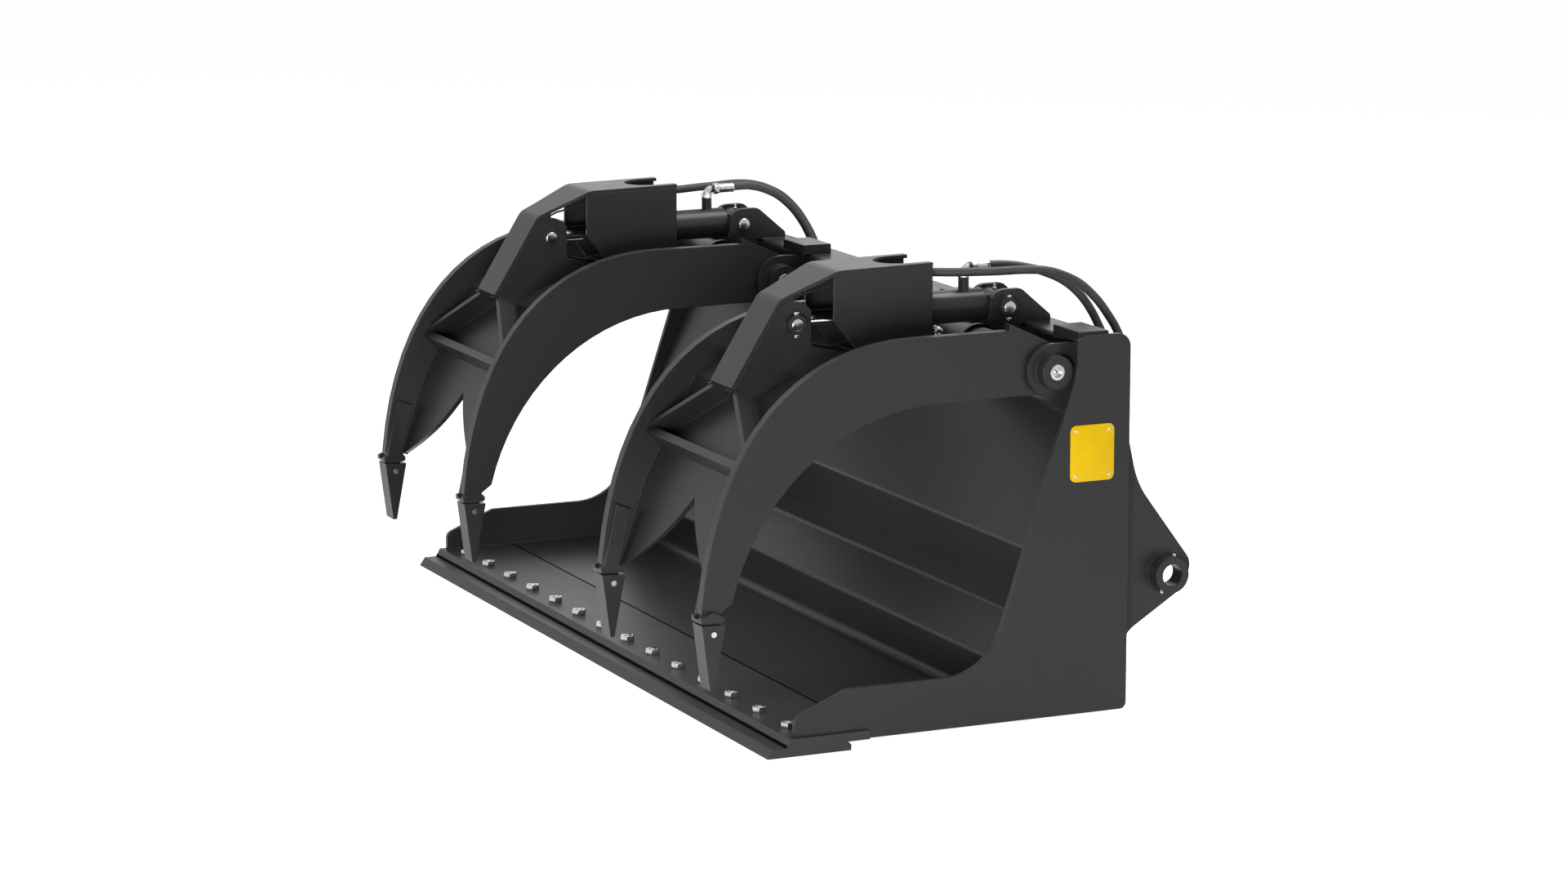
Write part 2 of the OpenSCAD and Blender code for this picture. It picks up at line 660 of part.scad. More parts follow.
// Folded strip that flares into the guard top, with an open notch at the back
notch_w = 110;
notch_l = 108;
flare_y = strip_path[1][0];
module strip_plan() {
  flare = curve([rib_half_out, flare_y], [rib_half_out + 1, flare_y + 60],
    [guard_half - 2, flare_y + 90], [guard_half, strip_path[2][0]]);
  difference() {
    polygon(concat([[rib_half_out, -far]], flare, [[guard_half, guard_back], [-guard_half, guard_back]],
      [for (p = reversed(flare)) [-p[0], p[1]]], [[-rib_half_out, -far]]));
    translate([0, guard_back - notch_l + notch_w / 2]) circle(d = notch_w);
    translate([-notch_w / 2, guard_back - notch_l + notch_w / 2]) square([notch_w, notch_l]);
  }
}
module strip() {
  color(charcoal) at_grapple() intersection() {
    plate(-guard_half, 2 * guard_half) polygon(sheet(strip_path, strip_t));
    linear_extrude(far) strip_plan();
  }
}

// Guard sides on their seat
module guard_side() {
  plate(guard_half - guard_t, guard_t) difference() {
    polygon([[guard_back - 1, seat_z + guard_t], [guard_back - 1, far],
      [guard_front - 56, far], [guard_front - 58, seat_z + 79], [guard_front, seat_z + guard_t]]);
    above_strip(strip_t);
  }
}
module guard() {
  color(charcoal) at_grapple() {
    at_lugs() guard_side();
    plate(-guard_half, 2 * guard_half) polygon([[guard_back - 1, seat_z], [guard_front, seat_z],
      [guard_front, seat_z + guard_t], [guard_back - 1, seat_z + guard_t]]);
  }
}

// Hub tube with an end bush at each tine
module hub() {
  color(charcoal) at_grapple() {
    difference() {
      rod_x(-hub_end, hub_end, tube_d, pivot);
      rod_x(-far, far, tube_d - 24, pivot);
    }
    at_lugs() difference() {
      rod_x(pin_in + 4, hub_end, tube_d - 24 - 2 * weld_gap, pivot);
      rod_x(0, far, pivot_pin_d + 2 * run_gap, pivot);
    }
  }
}

// Adapters, teeth and tooth pins
tooth_mid = -tooth_y;
pin_at = [-tooth_y, tooth_z - 20];
nose_l = 0.6 * tooth_l;
module nose_profile(gap) {
  polygon([[tooth_mid - 0.3 * tooth_d - gap, adapter_z + 1], [tooth_mid + 0.3 * tooth_d + gap, adapter_z + 1],
    [tooth_mid + 5 + gap, adapter_z - nose_l - gap], [tooth_mid - 5 - gap, adapter_z - nose_l - gap]]);
}
module adapter() {
  root = tooth_d / 2;
  difference() {
    union() {
      plate(-tooth_w / 2, tooth_w) polygon([[tooth_mid - root, adapter_z],
        [tooth_mid - root - 3, adapter_z + 4], [tooth_mid - root - 3, adapter_z + 13],
        [tooth_mid - 2, roof_z], [tooth_mid + root - 2, adapter_z + 12],
        [tooth_mid + root - 2, adapter_z + 4], [tooth_mid + root - 5, adapter_z]]);
      plate(-tooth_w * 0.28, tooth_w * 0.56) nose_profile(0);
      plate(-tooth_w / 2, tooth_w / 2) polygon([[tooth_mid - 24, roof_z - 12], [tooth_mid + 12, roof_z - 12],
        [tooth_mid + 46, roof_z + 118], [tooth_mid + 8, roof_z + 134]]);
    }
    plate(-tine_t / 2 - weld_gap, tine_t + 2 * weld_gap)
      translate([-2 * far, plate_z - weld_gap]) square([2 * far, far]);
    rod_x(-tooth_w, tooth_w, tooth_pin_d + 2 * weld_gap, pin_at);
  }
}
module adapters() {
  color(charcoal) at_grapple() {
    translate([tine_off, 0, 0]) adapter();
    translate([-tine_off, 0, 0]) mirror([1, 0, 0]) adapter();
  }
}
module teeth() {
  color(charcoal) at_grapple() at_tines() difference() {
    plate(-tooth_w / 2, tooth_w) polygon([[tooth_front, tooth_z + 1], [tooth_mid + tooth_d / 2, tooth_z - 1],
      [tooth_mid + 0.5, tooth_z - tooth_l], [tooth_mid - 9, tooth_z - tooth_l]]);
    plate(-tooth_w * 0.28 - 0.3, tooth_w * 0.56 + 0.6) nose_profile(0.3);
    rod_x(-tooth_w, tooth_w, tooth_pin_d + 2 * weld_gap, pin_at);
  }
}
module tooth_pins() {
  color(zinc) at_grapple() at_tines() rod_x(-tooth_w / 2 - 1, tooth_w / 2 + 1, tooth_pin_d, pin_at);
}
module rod_pin_part() {
  color(zinc) at_grapple() cross_bolted_pin(rod_pin, rib_half_out, 22);
}

// Cylinder, drawn along +X from its rear pin and then turned into place
module on_cylinder() {
  at_grapple() translate([0, rear_pin[0], rear_pin[1]]) rotate([-cyl_angle, 0, 0])
    rotate([0, 0, -90]) children();
}
module along_x(x0, x1, d) { translate([x0, 0, 0]) rotate([0, 90, 0]) cylinder(d = d, h = x1 - x0); }
module eye(r, w) { translate([0, w / 2, 0]) rotate([90, 0, 0]) cylinder(r = r, h = w); }
port_x = [79, barrel_l - 36];
port_top = barrel_d / 2 + 28;
elbow_z = port_top + 22;
module barrel() {
  color(charcoal) on_cylinder() difference() {
    union() {
      along_x(36, barrel_l - 16, barrel_d);
      along_x(barrel_l - 16, barrel_l, barrel_d - 6);
      translate([16, -24, -24]) cube([24, 48, 48]);
      eye(eye_r, base_eye_w);
      for (x = port_x) translate([x, 0, 0]) cylinder(d = 27.6, h = port_top, $fn = 6);
    }
    along_x(66, barrel_l - 30, barrel_bore);
    along_x(barrel_l - 31, barrel_l + 1, rod_d + 2 * run_gap);
    eye(cyl_pin_d / 2 + run_gap, 2 * base_eye_w);
  }
}
module barrel_ports() {
  color(zinc) on_cylinder() for (x = port_x) translate([x, 0, 0]) {
    translate([0, 0, port_top]) cylinder(d = 18, h = elbow_z - port_top);
    translate([0, 0, elbow_z]) cube(20, center = true);
  }
}
module piston_rod() {
  color(chrome) on_cylinder() {
    along_x(cyl_len - 225, cyl_len - 190, barrel_bore - 0.4);
    along_x(cyl_len - 191, cyl_len - eye_r - 14, rod_d);
  }
}
module rod_eye() {
  color(charcoal) on_cylinder() difference() {
    union() {
      along_x(cyl_len - eye_r - 14, cyl_len, rod_d + 12);
      translate([cyl_len, 0, 0]) eye(eye_r + 2, rod_eye_w);
    }
    translate([cyl_len, 0, 0]) eye(cyl_pin_d / 2 + link_gap, 2 * rod_eye_w);
  }
}

// Hoses, swept along hand-chosen points: x from the grapple's middle, then y and z
rod_hose_path = [[0, -502.4, 992], [0, -465, 992], [6, -415, 992], [22, -345, 992], [44, -287, 991],
  [60, -237, 991], [72, -185, 991], [81, -140, 992], [86, -105, 991], [88, -70, 987], [89, -30, 975],
  [90, 16, 951], [93, 57, 913], [96, 84, 877], [99, 102, 848], [100, 116, 818], [100, 126, 786],
  [100, 130, 752], [100, 119.3, 712], [100, 90, 682.7], [100, 52, 672], [100, 40.3, 672]];
base_hose_path = [[0, -227.4, 994], [0, -190, 994], [5, -160, 995], [14, -132, 994], [26, -106, 991],
  [42, -62, 980], [55, -12, 957], [60, 30, 922], [60, 60, 883], [60, 80, 847], [60, 97, 813],
  [60, 112, 783], [60, 122, 750], [60, 111.3, 712], [60, 82, 682.7], [60, 47, 672], [60, 40.3, 672]];
module hose(S) {
  n = len(S);
  m = 10;
  rings = [for (i = [0 : n - 1]) let (d = unit(S[min(i + 1, n - 1)] - S[max(i - 1, 0)]),
    u = unit(cross(d, [1, 0, 0])), v = cross(d, u))
    for (j = [0 : m - 1]) S[i] + hose_d / 2 * (cos(360 * j / m) * u + sin(360 * j / m) * v)];
  polyhedron(rings, concat([[for (j = [0 : m - 1]) j]], [[for (j = [m - 1 : -1 : 0]) (n - 1) * m + j]],
    [for (i = [0 : n - 2]) for (j = [0 : m - 1]) [i * m + j, (i + 1) * m + j,
      (i + 1) * m + (j + 1) % m, i * m + (j + 1) % m]]));
}
module rod_hose() { color(rubber) at_grapple() hose(rod_hose_path); }
module base_hose() { color(rubber) at_grapple() hose(base_hose_path); }

module right_side() { placed() children(); }
module left_side() { placed() mirror([1, 0, 0]) children(); }

side_plate_right();
side_plate_left();
floor_sheet();
back_sheet();
base_edge();
bolt_on_edge();
edge_bolts();
edge_nuts();
top_beam();
back_ribs();
heel_plate();
wear_strips();
hinge_plates_right();
hinge_plates_left();
hinge_bosses();
hinge_bolts();
pivot_lugs();
pivot_bosses();
pivot_pins();
cylinder_lugs();
rear_pins();
stop_blocks();
hose_bulkhead();
right_side() outer_tine();  // outer_tine_right
right_side() inner_tine();  // inner_tine_right
right_side() web();  // web_right
right_side() braces();  // braces_right
right_side() spine();  // spine_right
right_side() strip();  // strip_right
right_side() guard();  // guard_right
right_side() hub();  // hub_right
right_side() adapters();  // adapters_right
right_side() teeth();  // teeth_right
right_side() tooth_pins();  // tooth_pins_right
right_side() rod_pin_part();  // rod_pin_right
left_side() outer_tine();  // outer_tine_left
left_side() inner_tine();  // inner_tine_left
left_side() web();  // web_left
left_side() braces();  // braces_left
left_side() spine();  // spine_left
left_side() strip();  // strip_left
left_side() guard();  // guard_left
left_side() hub();  // hub_left
left_side() adapters();  // adapters_left
left_side() teeth();  // teeth_left
left_side() tooth_pins();  // tooth_pins_left
left_side() rod_pin_part();  // rod_pin_left
right_side() barrel();  // barrel_right
right_side() barrel_ports();  // barrel_ports_right
right_side() piston_rod();  // rod_right
right_side() rod_eye();  // rod_eye_right
left_side() barrel();  // barrel_left
left_side() barrel_ports();  // barrel_ports_left
left_side() piston_rod();  // rod_left
left_side() rod_eye();  // rod_eye_left
right_side() rod_hose();  // rod_hose_right
right_side() base_hose();  // base_hose_right
left_side() rod_hose();  // rod_hose_left
left_side() base_hose();  // base_hose_left
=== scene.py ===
"""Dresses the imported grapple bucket: satin paint, zinc fasteners, welds, hoses and a studio stage.

Everything is in metres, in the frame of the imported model: +Z up, the mouth faces -Y.
"""

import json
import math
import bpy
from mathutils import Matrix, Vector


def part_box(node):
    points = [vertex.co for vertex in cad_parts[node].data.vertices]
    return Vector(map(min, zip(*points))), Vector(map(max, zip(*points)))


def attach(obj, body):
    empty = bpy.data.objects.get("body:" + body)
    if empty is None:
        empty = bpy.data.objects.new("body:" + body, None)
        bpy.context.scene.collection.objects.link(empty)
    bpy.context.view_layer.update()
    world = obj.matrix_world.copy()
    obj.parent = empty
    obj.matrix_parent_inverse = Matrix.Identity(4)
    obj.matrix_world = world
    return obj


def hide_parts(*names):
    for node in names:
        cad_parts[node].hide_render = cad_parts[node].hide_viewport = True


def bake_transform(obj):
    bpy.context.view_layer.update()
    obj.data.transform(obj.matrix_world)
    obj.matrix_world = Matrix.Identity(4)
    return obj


bl_info = {
    "name": "Grapple Bucket",
    "version": (1, 0, 0),
    "blender": (4, 5, 0),
    "location": "View3D > Sidebar > Grapple Bucket",
    "description": "Paint, fasteners, welds, hoses and stage of a grapple bucket",
    "category": "Object",
}

import bpy
from mathutils import Matrix, Vector

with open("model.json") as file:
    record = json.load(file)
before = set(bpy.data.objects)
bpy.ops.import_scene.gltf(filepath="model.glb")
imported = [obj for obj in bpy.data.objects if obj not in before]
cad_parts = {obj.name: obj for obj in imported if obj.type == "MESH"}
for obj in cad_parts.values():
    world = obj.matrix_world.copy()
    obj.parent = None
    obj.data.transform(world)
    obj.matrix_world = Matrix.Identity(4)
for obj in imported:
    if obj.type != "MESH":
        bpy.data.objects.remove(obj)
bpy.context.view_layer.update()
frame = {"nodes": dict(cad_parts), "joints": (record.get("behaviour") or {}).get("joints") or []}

SIDES = {"right": 1, "left": -1}
JOINTS = {j["name"]: j for j in frame["joints"]}
PIVOT = Vector(JOINTS["grapple_hinge_right"]["pos_m"])
REAR_PIN = Vector(JOINTS["barrel_hinge_right"]["pos_m"])
ROD_AXIS = Vector(JOINTS["rod_slide_right"]["axis"])
GRAPPLE_X = PIVOT.x

# The distance between the two pins of a cylinder at rest.
PIN_SPAN = 0.530008
ROD_PIN = REAR_PIN + ROD_AXIS * PIN_SPAN

# Places on the bucket: metres from the middle, the back line and the ground.
PIVOT_PLACE = (-0.174, 0.800)
HINGE_PLACE = (0.124, 0.313)
SHIFT = PIVOT.y - PIVOT_PLACE[0]
INSIDE = 1.068
SIDE_FACE = 1.0800
FLOOR_TOP = 0.040
BEAM_TOP = 0.864
EDGE_END = 1.0895
# Corners of the near-black bars of painted shadow in the seams beside the base edge.
REAR_SEAM_SHADOW = ((-0.6498, 0.0385), (-0.6434, 0.0400))
FRONT_SEAM_SHADOW = ((-0.8496, 0.0200), (-0.8440, 0.0262))
HEEL_LAP = ((-0.310, 0.0200), (-0.2875, 0.0322))
SIGN_CORNERS = ((-0.150, 0.552), (-0.040, 0.680))
SIGN_THICKNESS = 0.0024

# Places on a grapple: across from its own middle, and otherwise as above.
TINE_IN = 0.2695
TINE_OUT = 0.2945
RIB = 0.058
HEAD_FOOT = Vector((-0.7850, 0.7425))
HEAD_TOP = Vector((-0.6900, 0.7880))

# The hoses' routes: metres from the middle of the grapple, the back line and the ground.
ROD_HOSE = [
    (0, -0.5024, 0.992), (0, -0.465, 0.992), (0.006, -0.415, 0.992), (0.022, -0.345, 0.992),
    (0.044, -0.287, 0.991), (0.060, -0.237, 0.991), (0.072, -0.185, 0.991),
    (0.081, -0.140, 0.992), (0.086, -0.105, 0.991), (0.088, -0.070, 0.987),
    (0.089, -0.030, 0.975), (0.090, 0.016, 0.951), (0.093, 0.057, 0.913), (0.096, 0.084, 0.877),
    (0.099, 0.102, 0.848), (0.100, 0.116, 0.818), (0.100, 0.126, 0.786), (0.100, 0.130, 0.752),
    (0.100, 0.1193, 0.712), (0.100, 0.090, 0.6827), (0.100, 0.052, 0.672),
    (0.100, 0.0403, 0.672),
]
BASE_HOSE = [
    (0, -0.2274, 0.994), (0, -0.190, 0.994), (0.005, -0.160, 0.995), (0.014, -0.132, 0.994),
    (0.026, -0.106, 0.991), (0.042, -0.062, 0.980), (0.055, -0.012, 0.957),
    (0.060, 0.030, 0.922), (0.060, 0.060, 0.883), (0.060, 0.080, 0.847), (0.060, 0.097, 0.813),
    (0.060, 0.112, 0.783), (0.060, 0.122, 0.750), (0.060, 0.1113, 0.712), (0.060, 0.082, 0.6827),
    (0.060, 0.047, 0.672), (0.060, 0.0403, 0.672),
]

# Places along a cylinder from its rear pin, and the length of a hose's rear ferrule.
PORTS = (0.079, 0.354)
GLAND_BANDS = (0.376, 0.383)
ROD_SEAL = 0.388
TAIL_FERRULE = 0.020

# The finishes by name, filled by the first operator.
FINISH = {}


# Sizes and colours that a user would change

class PaintSettings(bpy.types.PropertyGroup):
    colour: bpy.props.FloatVectorProperty(
        name="Paint", description="Colour of the charcoal paint", subtype="COLOR",
        size=3, min=0, max=1, default=(0.028, 0.028, 0.030))
    edge_colour: bpy.props.FloatVectorProperty(
        name="Edge paint", description="Colour of the cutting edges", subtype="COLOR",
        size=3, min=0, max=1, default=(0.033, 0.033, 0.035))
    gloss: bpy.props.FloatProperty(
        name="Roughness", description="Roughness of the satin paint", min=0, max=1, default=0.33)
    rounding: bpy.props.FloatProperty(
        name="Edge rounding", description="Radius of the softened plate edges", unit="LENGTH",
        min=0, max=0.01, default=0.0022)


class FastenerSettings(bpy.types.PropertyGroup):
    nut_af: bpy.props.FloatProperty(
        name="Nut", description="Across flats of an edge nut", unit="LENGTH",
        min=0.02, max=0.04, default=0.030)
    nut_height: bpy.props.FloatProperty(
        name="Nut height", description="Height of an edge nut", unit="LENGTH",
        min=0.01, max=0.03, default=0.0138)
    bolt_d: bpy.props.FloatProperty(
        name="Bolt", description="Diameter of an edge bolt", unit="LENGTH",
        min=0.01, max=0.03, default=0.020)
    zinc: bpy.props.FloatVectorProperty(
        name="Zinc", description="Colour of the zinc plating", subtype="COLOR",
        size=3, min=0, max=1, default=(0.52, 0.52, 0.51))


class HoseSettings(bpy.types.PropertyGroup):
    diameter: bpy.props.FloatProperty(
        name="Hose", description="Outer diameter of a hose", unit="LENGTH",
        min=0.01, max=0.03, default=0.020)
    ferrule: bpy.props.FloatProperty(
        name="Ferrule", description="Length of the crimped ferrule", unit="LENGTH",
        min=0.02, max=0.06, default=0.0385)
    colour: bpy.props.FloatVectorProperty(
        name="Rubber", description="Colour of the hose cover", subtype="COLOR",
        size=3, min=0, max=1, default=(0.028, 0.028, 0.030))


class WeldSettings(bpy.types.PropertyGroup):
    leg: bpy.props.FloatProperty(
        name="Weld size", description="Radius of a weld bead", unit="LENGTH",
        min=0.002, max=0.008, default=0.0025)
    ripple: bpy.props.FloatProperty(
        name="Ripple", description="Length of one weld ripple", unit="LENGTH",
        min=0.002, max=0.01, default=0.0045)


class StageSettings(bpy.types.PropertyGroup):
    eye: bpy.props.FloatVectorProperty(
        name="Camera", description="Place of the camera from the back line", subtype="TRANSLATION",
        size=3, default=(9.9878, -4.9498, 2.5819))
    target: bpy.props.FloatVectorProperty(
        name="Target", description="Point that the camera looks at", subtype="TRANSLATION",
        size=3, default=(-0.76747, 0, 0.31317))
    lens: bpy.props.FloatProperty(
        name="Lens", description="Focal length of the camera", unit="CAMERA",
        min=20, max=300, default=106.25)
    floor: bpy.props.FloatVectorProperty(
        name="Floor", description="Colour of the floor", subtype="COLOR",
        size=3, min=0, max=1, default=(0.90, 0.90, 0.90))


# Modelling helpers

def deselect():
    """Leave edit mode with nothing selected."""
    if bpy.context.object and bpy.context.object.mode != "OBJECT":
        bpy.ops.object.mode_set(mode="OBJECT")
    bpy.ops.object.select_all(action="DESELECT")


def only(obj):
    """Select one piece and make it the active one."""
    deselect()
    obj.select_set(True)
    bpy.context.view_layer.objects.active = obj
    return obj


def round_bar(radius, length, at=(0, 0, 0), sides=48):
    """A bar that stands on `at` and rises along +Z."""
    deselect()
    bpy.ops.mesh.primitive_cylinder_add(
        vertices=sides, radius=radius, depth=length,
        location=(at[0], at[1], at[2] + length / 2))
    bpy.ops.object.transform_apply(location=True, rotation=True, scale=True)
    return bpy.context.object


def block(low, high):
    """A box between two corners."""
    deselect()
    size = [h - l for l, h in zip(low, high)]
    bpy.ops.mesh.primitive_cube_add(size=1, location=[(l + h) / 2 for l, h in zip(low, high)])
    bpy.context.object.scale = size
    bpy.ops.object.transform_apply(location=True, rotation=True, scale=True)
    return bpy.context.object


def pick(obj, kind, test):
    """Leave the piece in edit mode with the edges or faces selected whose middle passes."""
    only(obj)
    bpy.ops.object.mode_set(mode="EDIT")
    bpy.ops.mesh.select_mode(type=kind)
    bpy.ops.mesh.select_all(action="DESELECT")
    bpy.ops.object.mode_set(mode="OBJECT")
    points = obj.data.vertices
    if kind == "FACE":
        for face in obj.data.polygons:
            face.select = bool(test(face.center, face.normal))
    else:
        for edge in obj.data.edges:
            a, b = (points[i].co for i in edge.vertices)
            edge.select = bool(test((a + b) / 2, b - a))
    bpy.ops.object.mode_set(mode="EDIT")


def done():
    """End an edit that pick began."""
    bpy.ops.object.mode_set(mode="OBJECT")


def chamfer(obj, width, test, steps=2):
    """Bevel the edges whose middle and direction pass."""
    pick(obj, "EDGE", test)
    bpy.ops.mesh.bevel(offset=width, segments=steps, affect="EDGES")
    done()


def flat_ring(middle, run):
    """True for an edge that lies level, as the rims of a standing bar do."""
    return abs(run.normalized().z) < 0.1


def lengthways(run):
    """True for an edge along X."""
    return abs(run.normalized().x) > 0.9


def upright(run):
    """True for an edge along Z."""
    return abs(run.normalized().z) > 0.9


def apply_modifier(obj, kind, **values):
    """Put a modifier on the piece and apply it."""
    only(obj)
    modifier = obj.modifiers.new(kind.title(), kind)
    for key, value in values.items():
        setattr(modifier, key, value)
    bpy.ops.object.modifier_apply(modifier=modifier.name)
    return obj


def cut(obj, tool):
    """Take the tool's shape out of the piece."""
    apply_modifier(obj, "BOOLEAN", operation="DIFFERENCE", solver="EXACT", object=tool)
    bpy.data.objects.remove(tool)
    return obj


def twin(obj, matrix):
    """A copy of the piece with its own mesh, moved in its mesh."""
    copy = obj.copy()
    copy.data = obj.data.copy()
    bpy.context.scene.collection.objects.link(copy)
    copy.data.transform(matrix)
    if matrix.determinant() < 0:
        copy.data.flip_normals()
    return copy


def joined(pieces, name):
    """Join pieces into one."""
    deselect()
    for piece in pieces:
        piece.select_set(True)
    bpy.context.view_layer.objects.active = pieces[0]
    if len(pieces) > 1:
        bpy.ops.object.join()
    obj = bpy.context.object
    obj.name = name
    return obj


def finished(obj, name, body, slot, stands_for=(), angle=35, finish=None):
    """Name, smooth and paint a piece, and let it ride on its body."""
    obj.name = name
    obj.data.name = name
    only(obj)
    bpy.ops.object.transform_apply(location=True, rotation=True, scale=True)
    bpy.ops.object.shade_smooth_by_angle(angle=math.radians(angle))
    obj.data.materials.clear()
    obj.data.materials.append(FINISH[finish or slot])
    if body:
        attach(obj, body)
    if stands_for:
        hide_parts(*stands_for)
    return obj


def along(direction):
    """The turn that takes +Z to a direction."""
    return Vector(direction).to_track_quat("Z", "Y").to_matrix().to_4x4()


def at(x, y, z):
    """A point given from the middle, the back line and the ground."""
    return Vector((x, y + SHIFT, z))


# Finishes

def material_of(name):
    """A new material with its nodes, links and shader."""
    material = bpy.data.materials.new(name)
    material.use_nodes = True
    nodes = material.node_tree.nodes
    shader = nodes["Principled BSDF"]
    return material, nodes, material.node_tree.links, shader


def place_of(nodes):
    """The piece's own coordinates."""
    return nodes.new("ShaderNodeTexCoord").outputs["Object"]


def noise(nodes, links, place, scale, detail=3, rough=0.5):
    """Noise over the piece's own coordinates."""
    texture = nodes.new("ShaderNodeTexNoise")
    texture.inputs["Scale"].default_value = scale
    texture.inputs["Detail"].default_value = detail
    texture.inputs["Roughness"].default_value = rough
    links.new(place, texture.inputs["Vector"])
    return texture.outputs["Fac"]


def ramp(nodes, links, value, low, high, first, last):
    """A value's range from low to high, turned into the range from first to last."""
    band = nodes.new("ShaderNodeMapRange")
    band.inputs["From Min"].default_value = low
    band.inputs["From Max"].default_value = high
    band.inputs["To Min"].default_value = first
    band.inputs["To Max"].default_value = last
    links.new(value, band.inputs["Value"])
    return band.outputs["Result"]


def blended(nodes, links, share, first, last):
    """A mix of two colours, each given by its values or by a socket."""
    mix = nodes.new("ShaderNodeMix")
    mix.data_type = "RGBA"
    for key, colour in (("A", first), ("B", last)):
        if isinstance(colour, tuple):
            mix.inputs[key].default_value = (*colour, 1)
        else:
            links.new(colour, mix.inputs[key])
    links.new(share, mix.inputs["Factor"])
    return mix.outputs["Result"]


def clouded(nodes, links, cloud, dark, pale, spread=0.15):
    """A colour that drifts between two tones with the noise."""
    share = ramp(nodes, links, cloud, 0.5 - spread, 0.5 + spread, 0, 1)
    return blended(nodes, links, share, dark, pale)


def stretched(nodes, links, place, scale):
    """The piece's coordinates, drawn out by a scale for each axis."""
    mapping = nodes.new("ShaderNodeMapping")
    mapping.inputs["Scale"].default_value = scale
    links.new(place, mapping.inputs["Vector"])
    return mapping.outputs["Vector"]


def relief(nodes, links, height, strength, depth, base=None):
    """A bump normal, on top of another normal if one is given."""
    bump = nodes.new("ShaderNodeBump")
    bump.inputs["Strength"].default_value = strength
    bump.inputs["Distance"].default_value = depth
    links.new(height, bump.inputs["Height"])
    if base is not None:
        links.new(base, bump.inputs["Normal"])
    return bump.outputs["Normal"]


def rounded(nodes, radius):
    """A normal that softens the edges."""
    bevel = nodes.new("ShaderNodeBevel")
    bevel.samples = 6
    bevel.inputs["Radius"].default_value = radius
    return bevel.outputs["Normal"]


def shade(colour, factor):
    """The colour, lighter or darker by a factor."""
    return tuple(min(1.0, c * factor) for c in colour)


def paint_finish(name, colour, roughness, radius):
    """Satin powder coat: faint orange peel, a little dust and softened edges."""
    material, nodes, links, shader = material_of(name)
    place = place_of(nodes)
    cloud = noise(nodes, links, place, 2.3, 4, 0.6)
    dust = noise(nodes, links, place, 38, 5, 0.65)
    tone = clouded(nodes, links, cloud, shade(colour, 0.93), shade(colour, 1.07))
    dusty = blended(nodes, links, ramp(nodes, links, dust, 0.56, 0.80, 0, 0.22), tone,
                    shade(colour, 1.5))
    links.new(dusty, shader.inputs["Base Color"])
    links.new(ramp(nodes, links, dust, 0.3, 0.7, roughness - 0.015, roughness + 0.02),
              shader.inputs["Roughness"])
    shader.inputs["Specular IOR Level"].default_value = 0.25
    peel = noise(nodes, links, place, 420, 2, 0.5)
    links.new(relief(nodes, links, peel, 0.03, 0.0004, rounded(nodes, radius)),
              shader.inputs["Normal"])
    return material


def edge_finish(name, colour, radius):
    """Painted edge steel with faint scuffs from side to side."""
    material, nodes, links, shader = material_of(name)
    place = place_of(nodes)
    scuff = noise(nodes, links, stretched(nodes, links, place, (4, 60, 60)), 1.4, 6, 0.62)
    cloud = noise(nodes, links, place, 5, 3, 0.55)
    tone = clouded(nodes, links, cloud, shade(colour, 0.92), shade(colour, 1.08))
    worn = blended(nodes, links, ramp(nodes, links, scuff, 0.62, 0.85, 0, 0.25), tone,
                   shade(colour, 1.6))
    links.new(worn, shader.inputs["Base Color"])
    links.new(ramp(nodes, links, scuff, 0.3, 0.7, 0.37, 0.42), shader.inputs["Roughness"])
    shader.inputs["Specular IOR Level"].default_value = 0.3
    links.new(relief(nodes, links, scuff, 0.02, 0.0004, rounded(nodes, radius)),
              shader.inputs["Normal"])
    return material


def zinc_finish(name, colour):
    """Bright zinc plate with a slightly cloudy, spangled surface."""
    material, nodes, links, shader = material_of(name)
    place = place_of(nodes)
    cloud = noise(nodes, links, place, 60, 4, 0.6)
    tone = clouded(nodes, links, cloud, shade(colour, 0.86), shade(colour, 1.08))
    links.new(tone, shader.inputs["Base Color"])
    shader.inputs["Metallic"].default_value = 1
    links.new(ramp(nodes, links, cloud, 0.3, 0.7, 0.15, 0.28), shader.inputs["Roughness"])
    fine = noise(nodes, links, place, 900, 2, 0.5)
    links.new(relief(nodes, links, fine, 0.08, 0.0003, rounded(nodes, 0.0008)),
              shader.inputs["Normal"])
    return material


def chrome_finish(name):
    """Ground and polished rod with hair-fine turning lines."""
    material, nodes, links, shader = material_of(name)
    place = place_of(nodes)
    lines = noise(nodes, links, stretched(nodes, links, place, (8, 900, 8)), 1, 2, 0.5)
    tone = clouded(nodes, links, lines, (0.70, 0.71, 0.73), (0.82, 0.83, 0.85), 0.2)
    links.new(tone, shader.inputs["Base Color"])
    shader.inputs["Metallic"].default_value = 1
    links.new(ramp(nodes, links, lines, 0.3, 0.7, 0.10, 0.18), shader.inputs["Roughness"])
    return material


def rubber_finish(name, colour):
    """Hose cover with the faint cloth wrap mark of a hydraulic hose."""
    material, nodes, links, shader = material_of(name)
    place = place_of(nodes)
    cloud = noise(nodes, links, place, 30, 4, 0.6)
    tone = clouded(nodes, links, cloud, shade(colour, 0.8), shade(colour, 1.35))
    links.new(tone, shader.inputs["Base Color"])
    links.new(ramp(nodes, links, cloud, 0.3, 0.7, 0.50, 0.64), shader.inputs["Roughness"])
    wrap = nodes.new("ShaderNodeTexWave")
    wrap.wave_type = "BANDS"
    wrap.bands_direction = "Y"
    wrap.inputs["Scale"].default_value = 110
    wrap.inputs["Distortion"].default_value = 1.5
    links.new(place, wrap.inputs["Vector"])
    links.new(relief(nodes, links, wrap.outputs["Fac"], 0.25, 0.0004), shader.inputs["Normal"])
    return material


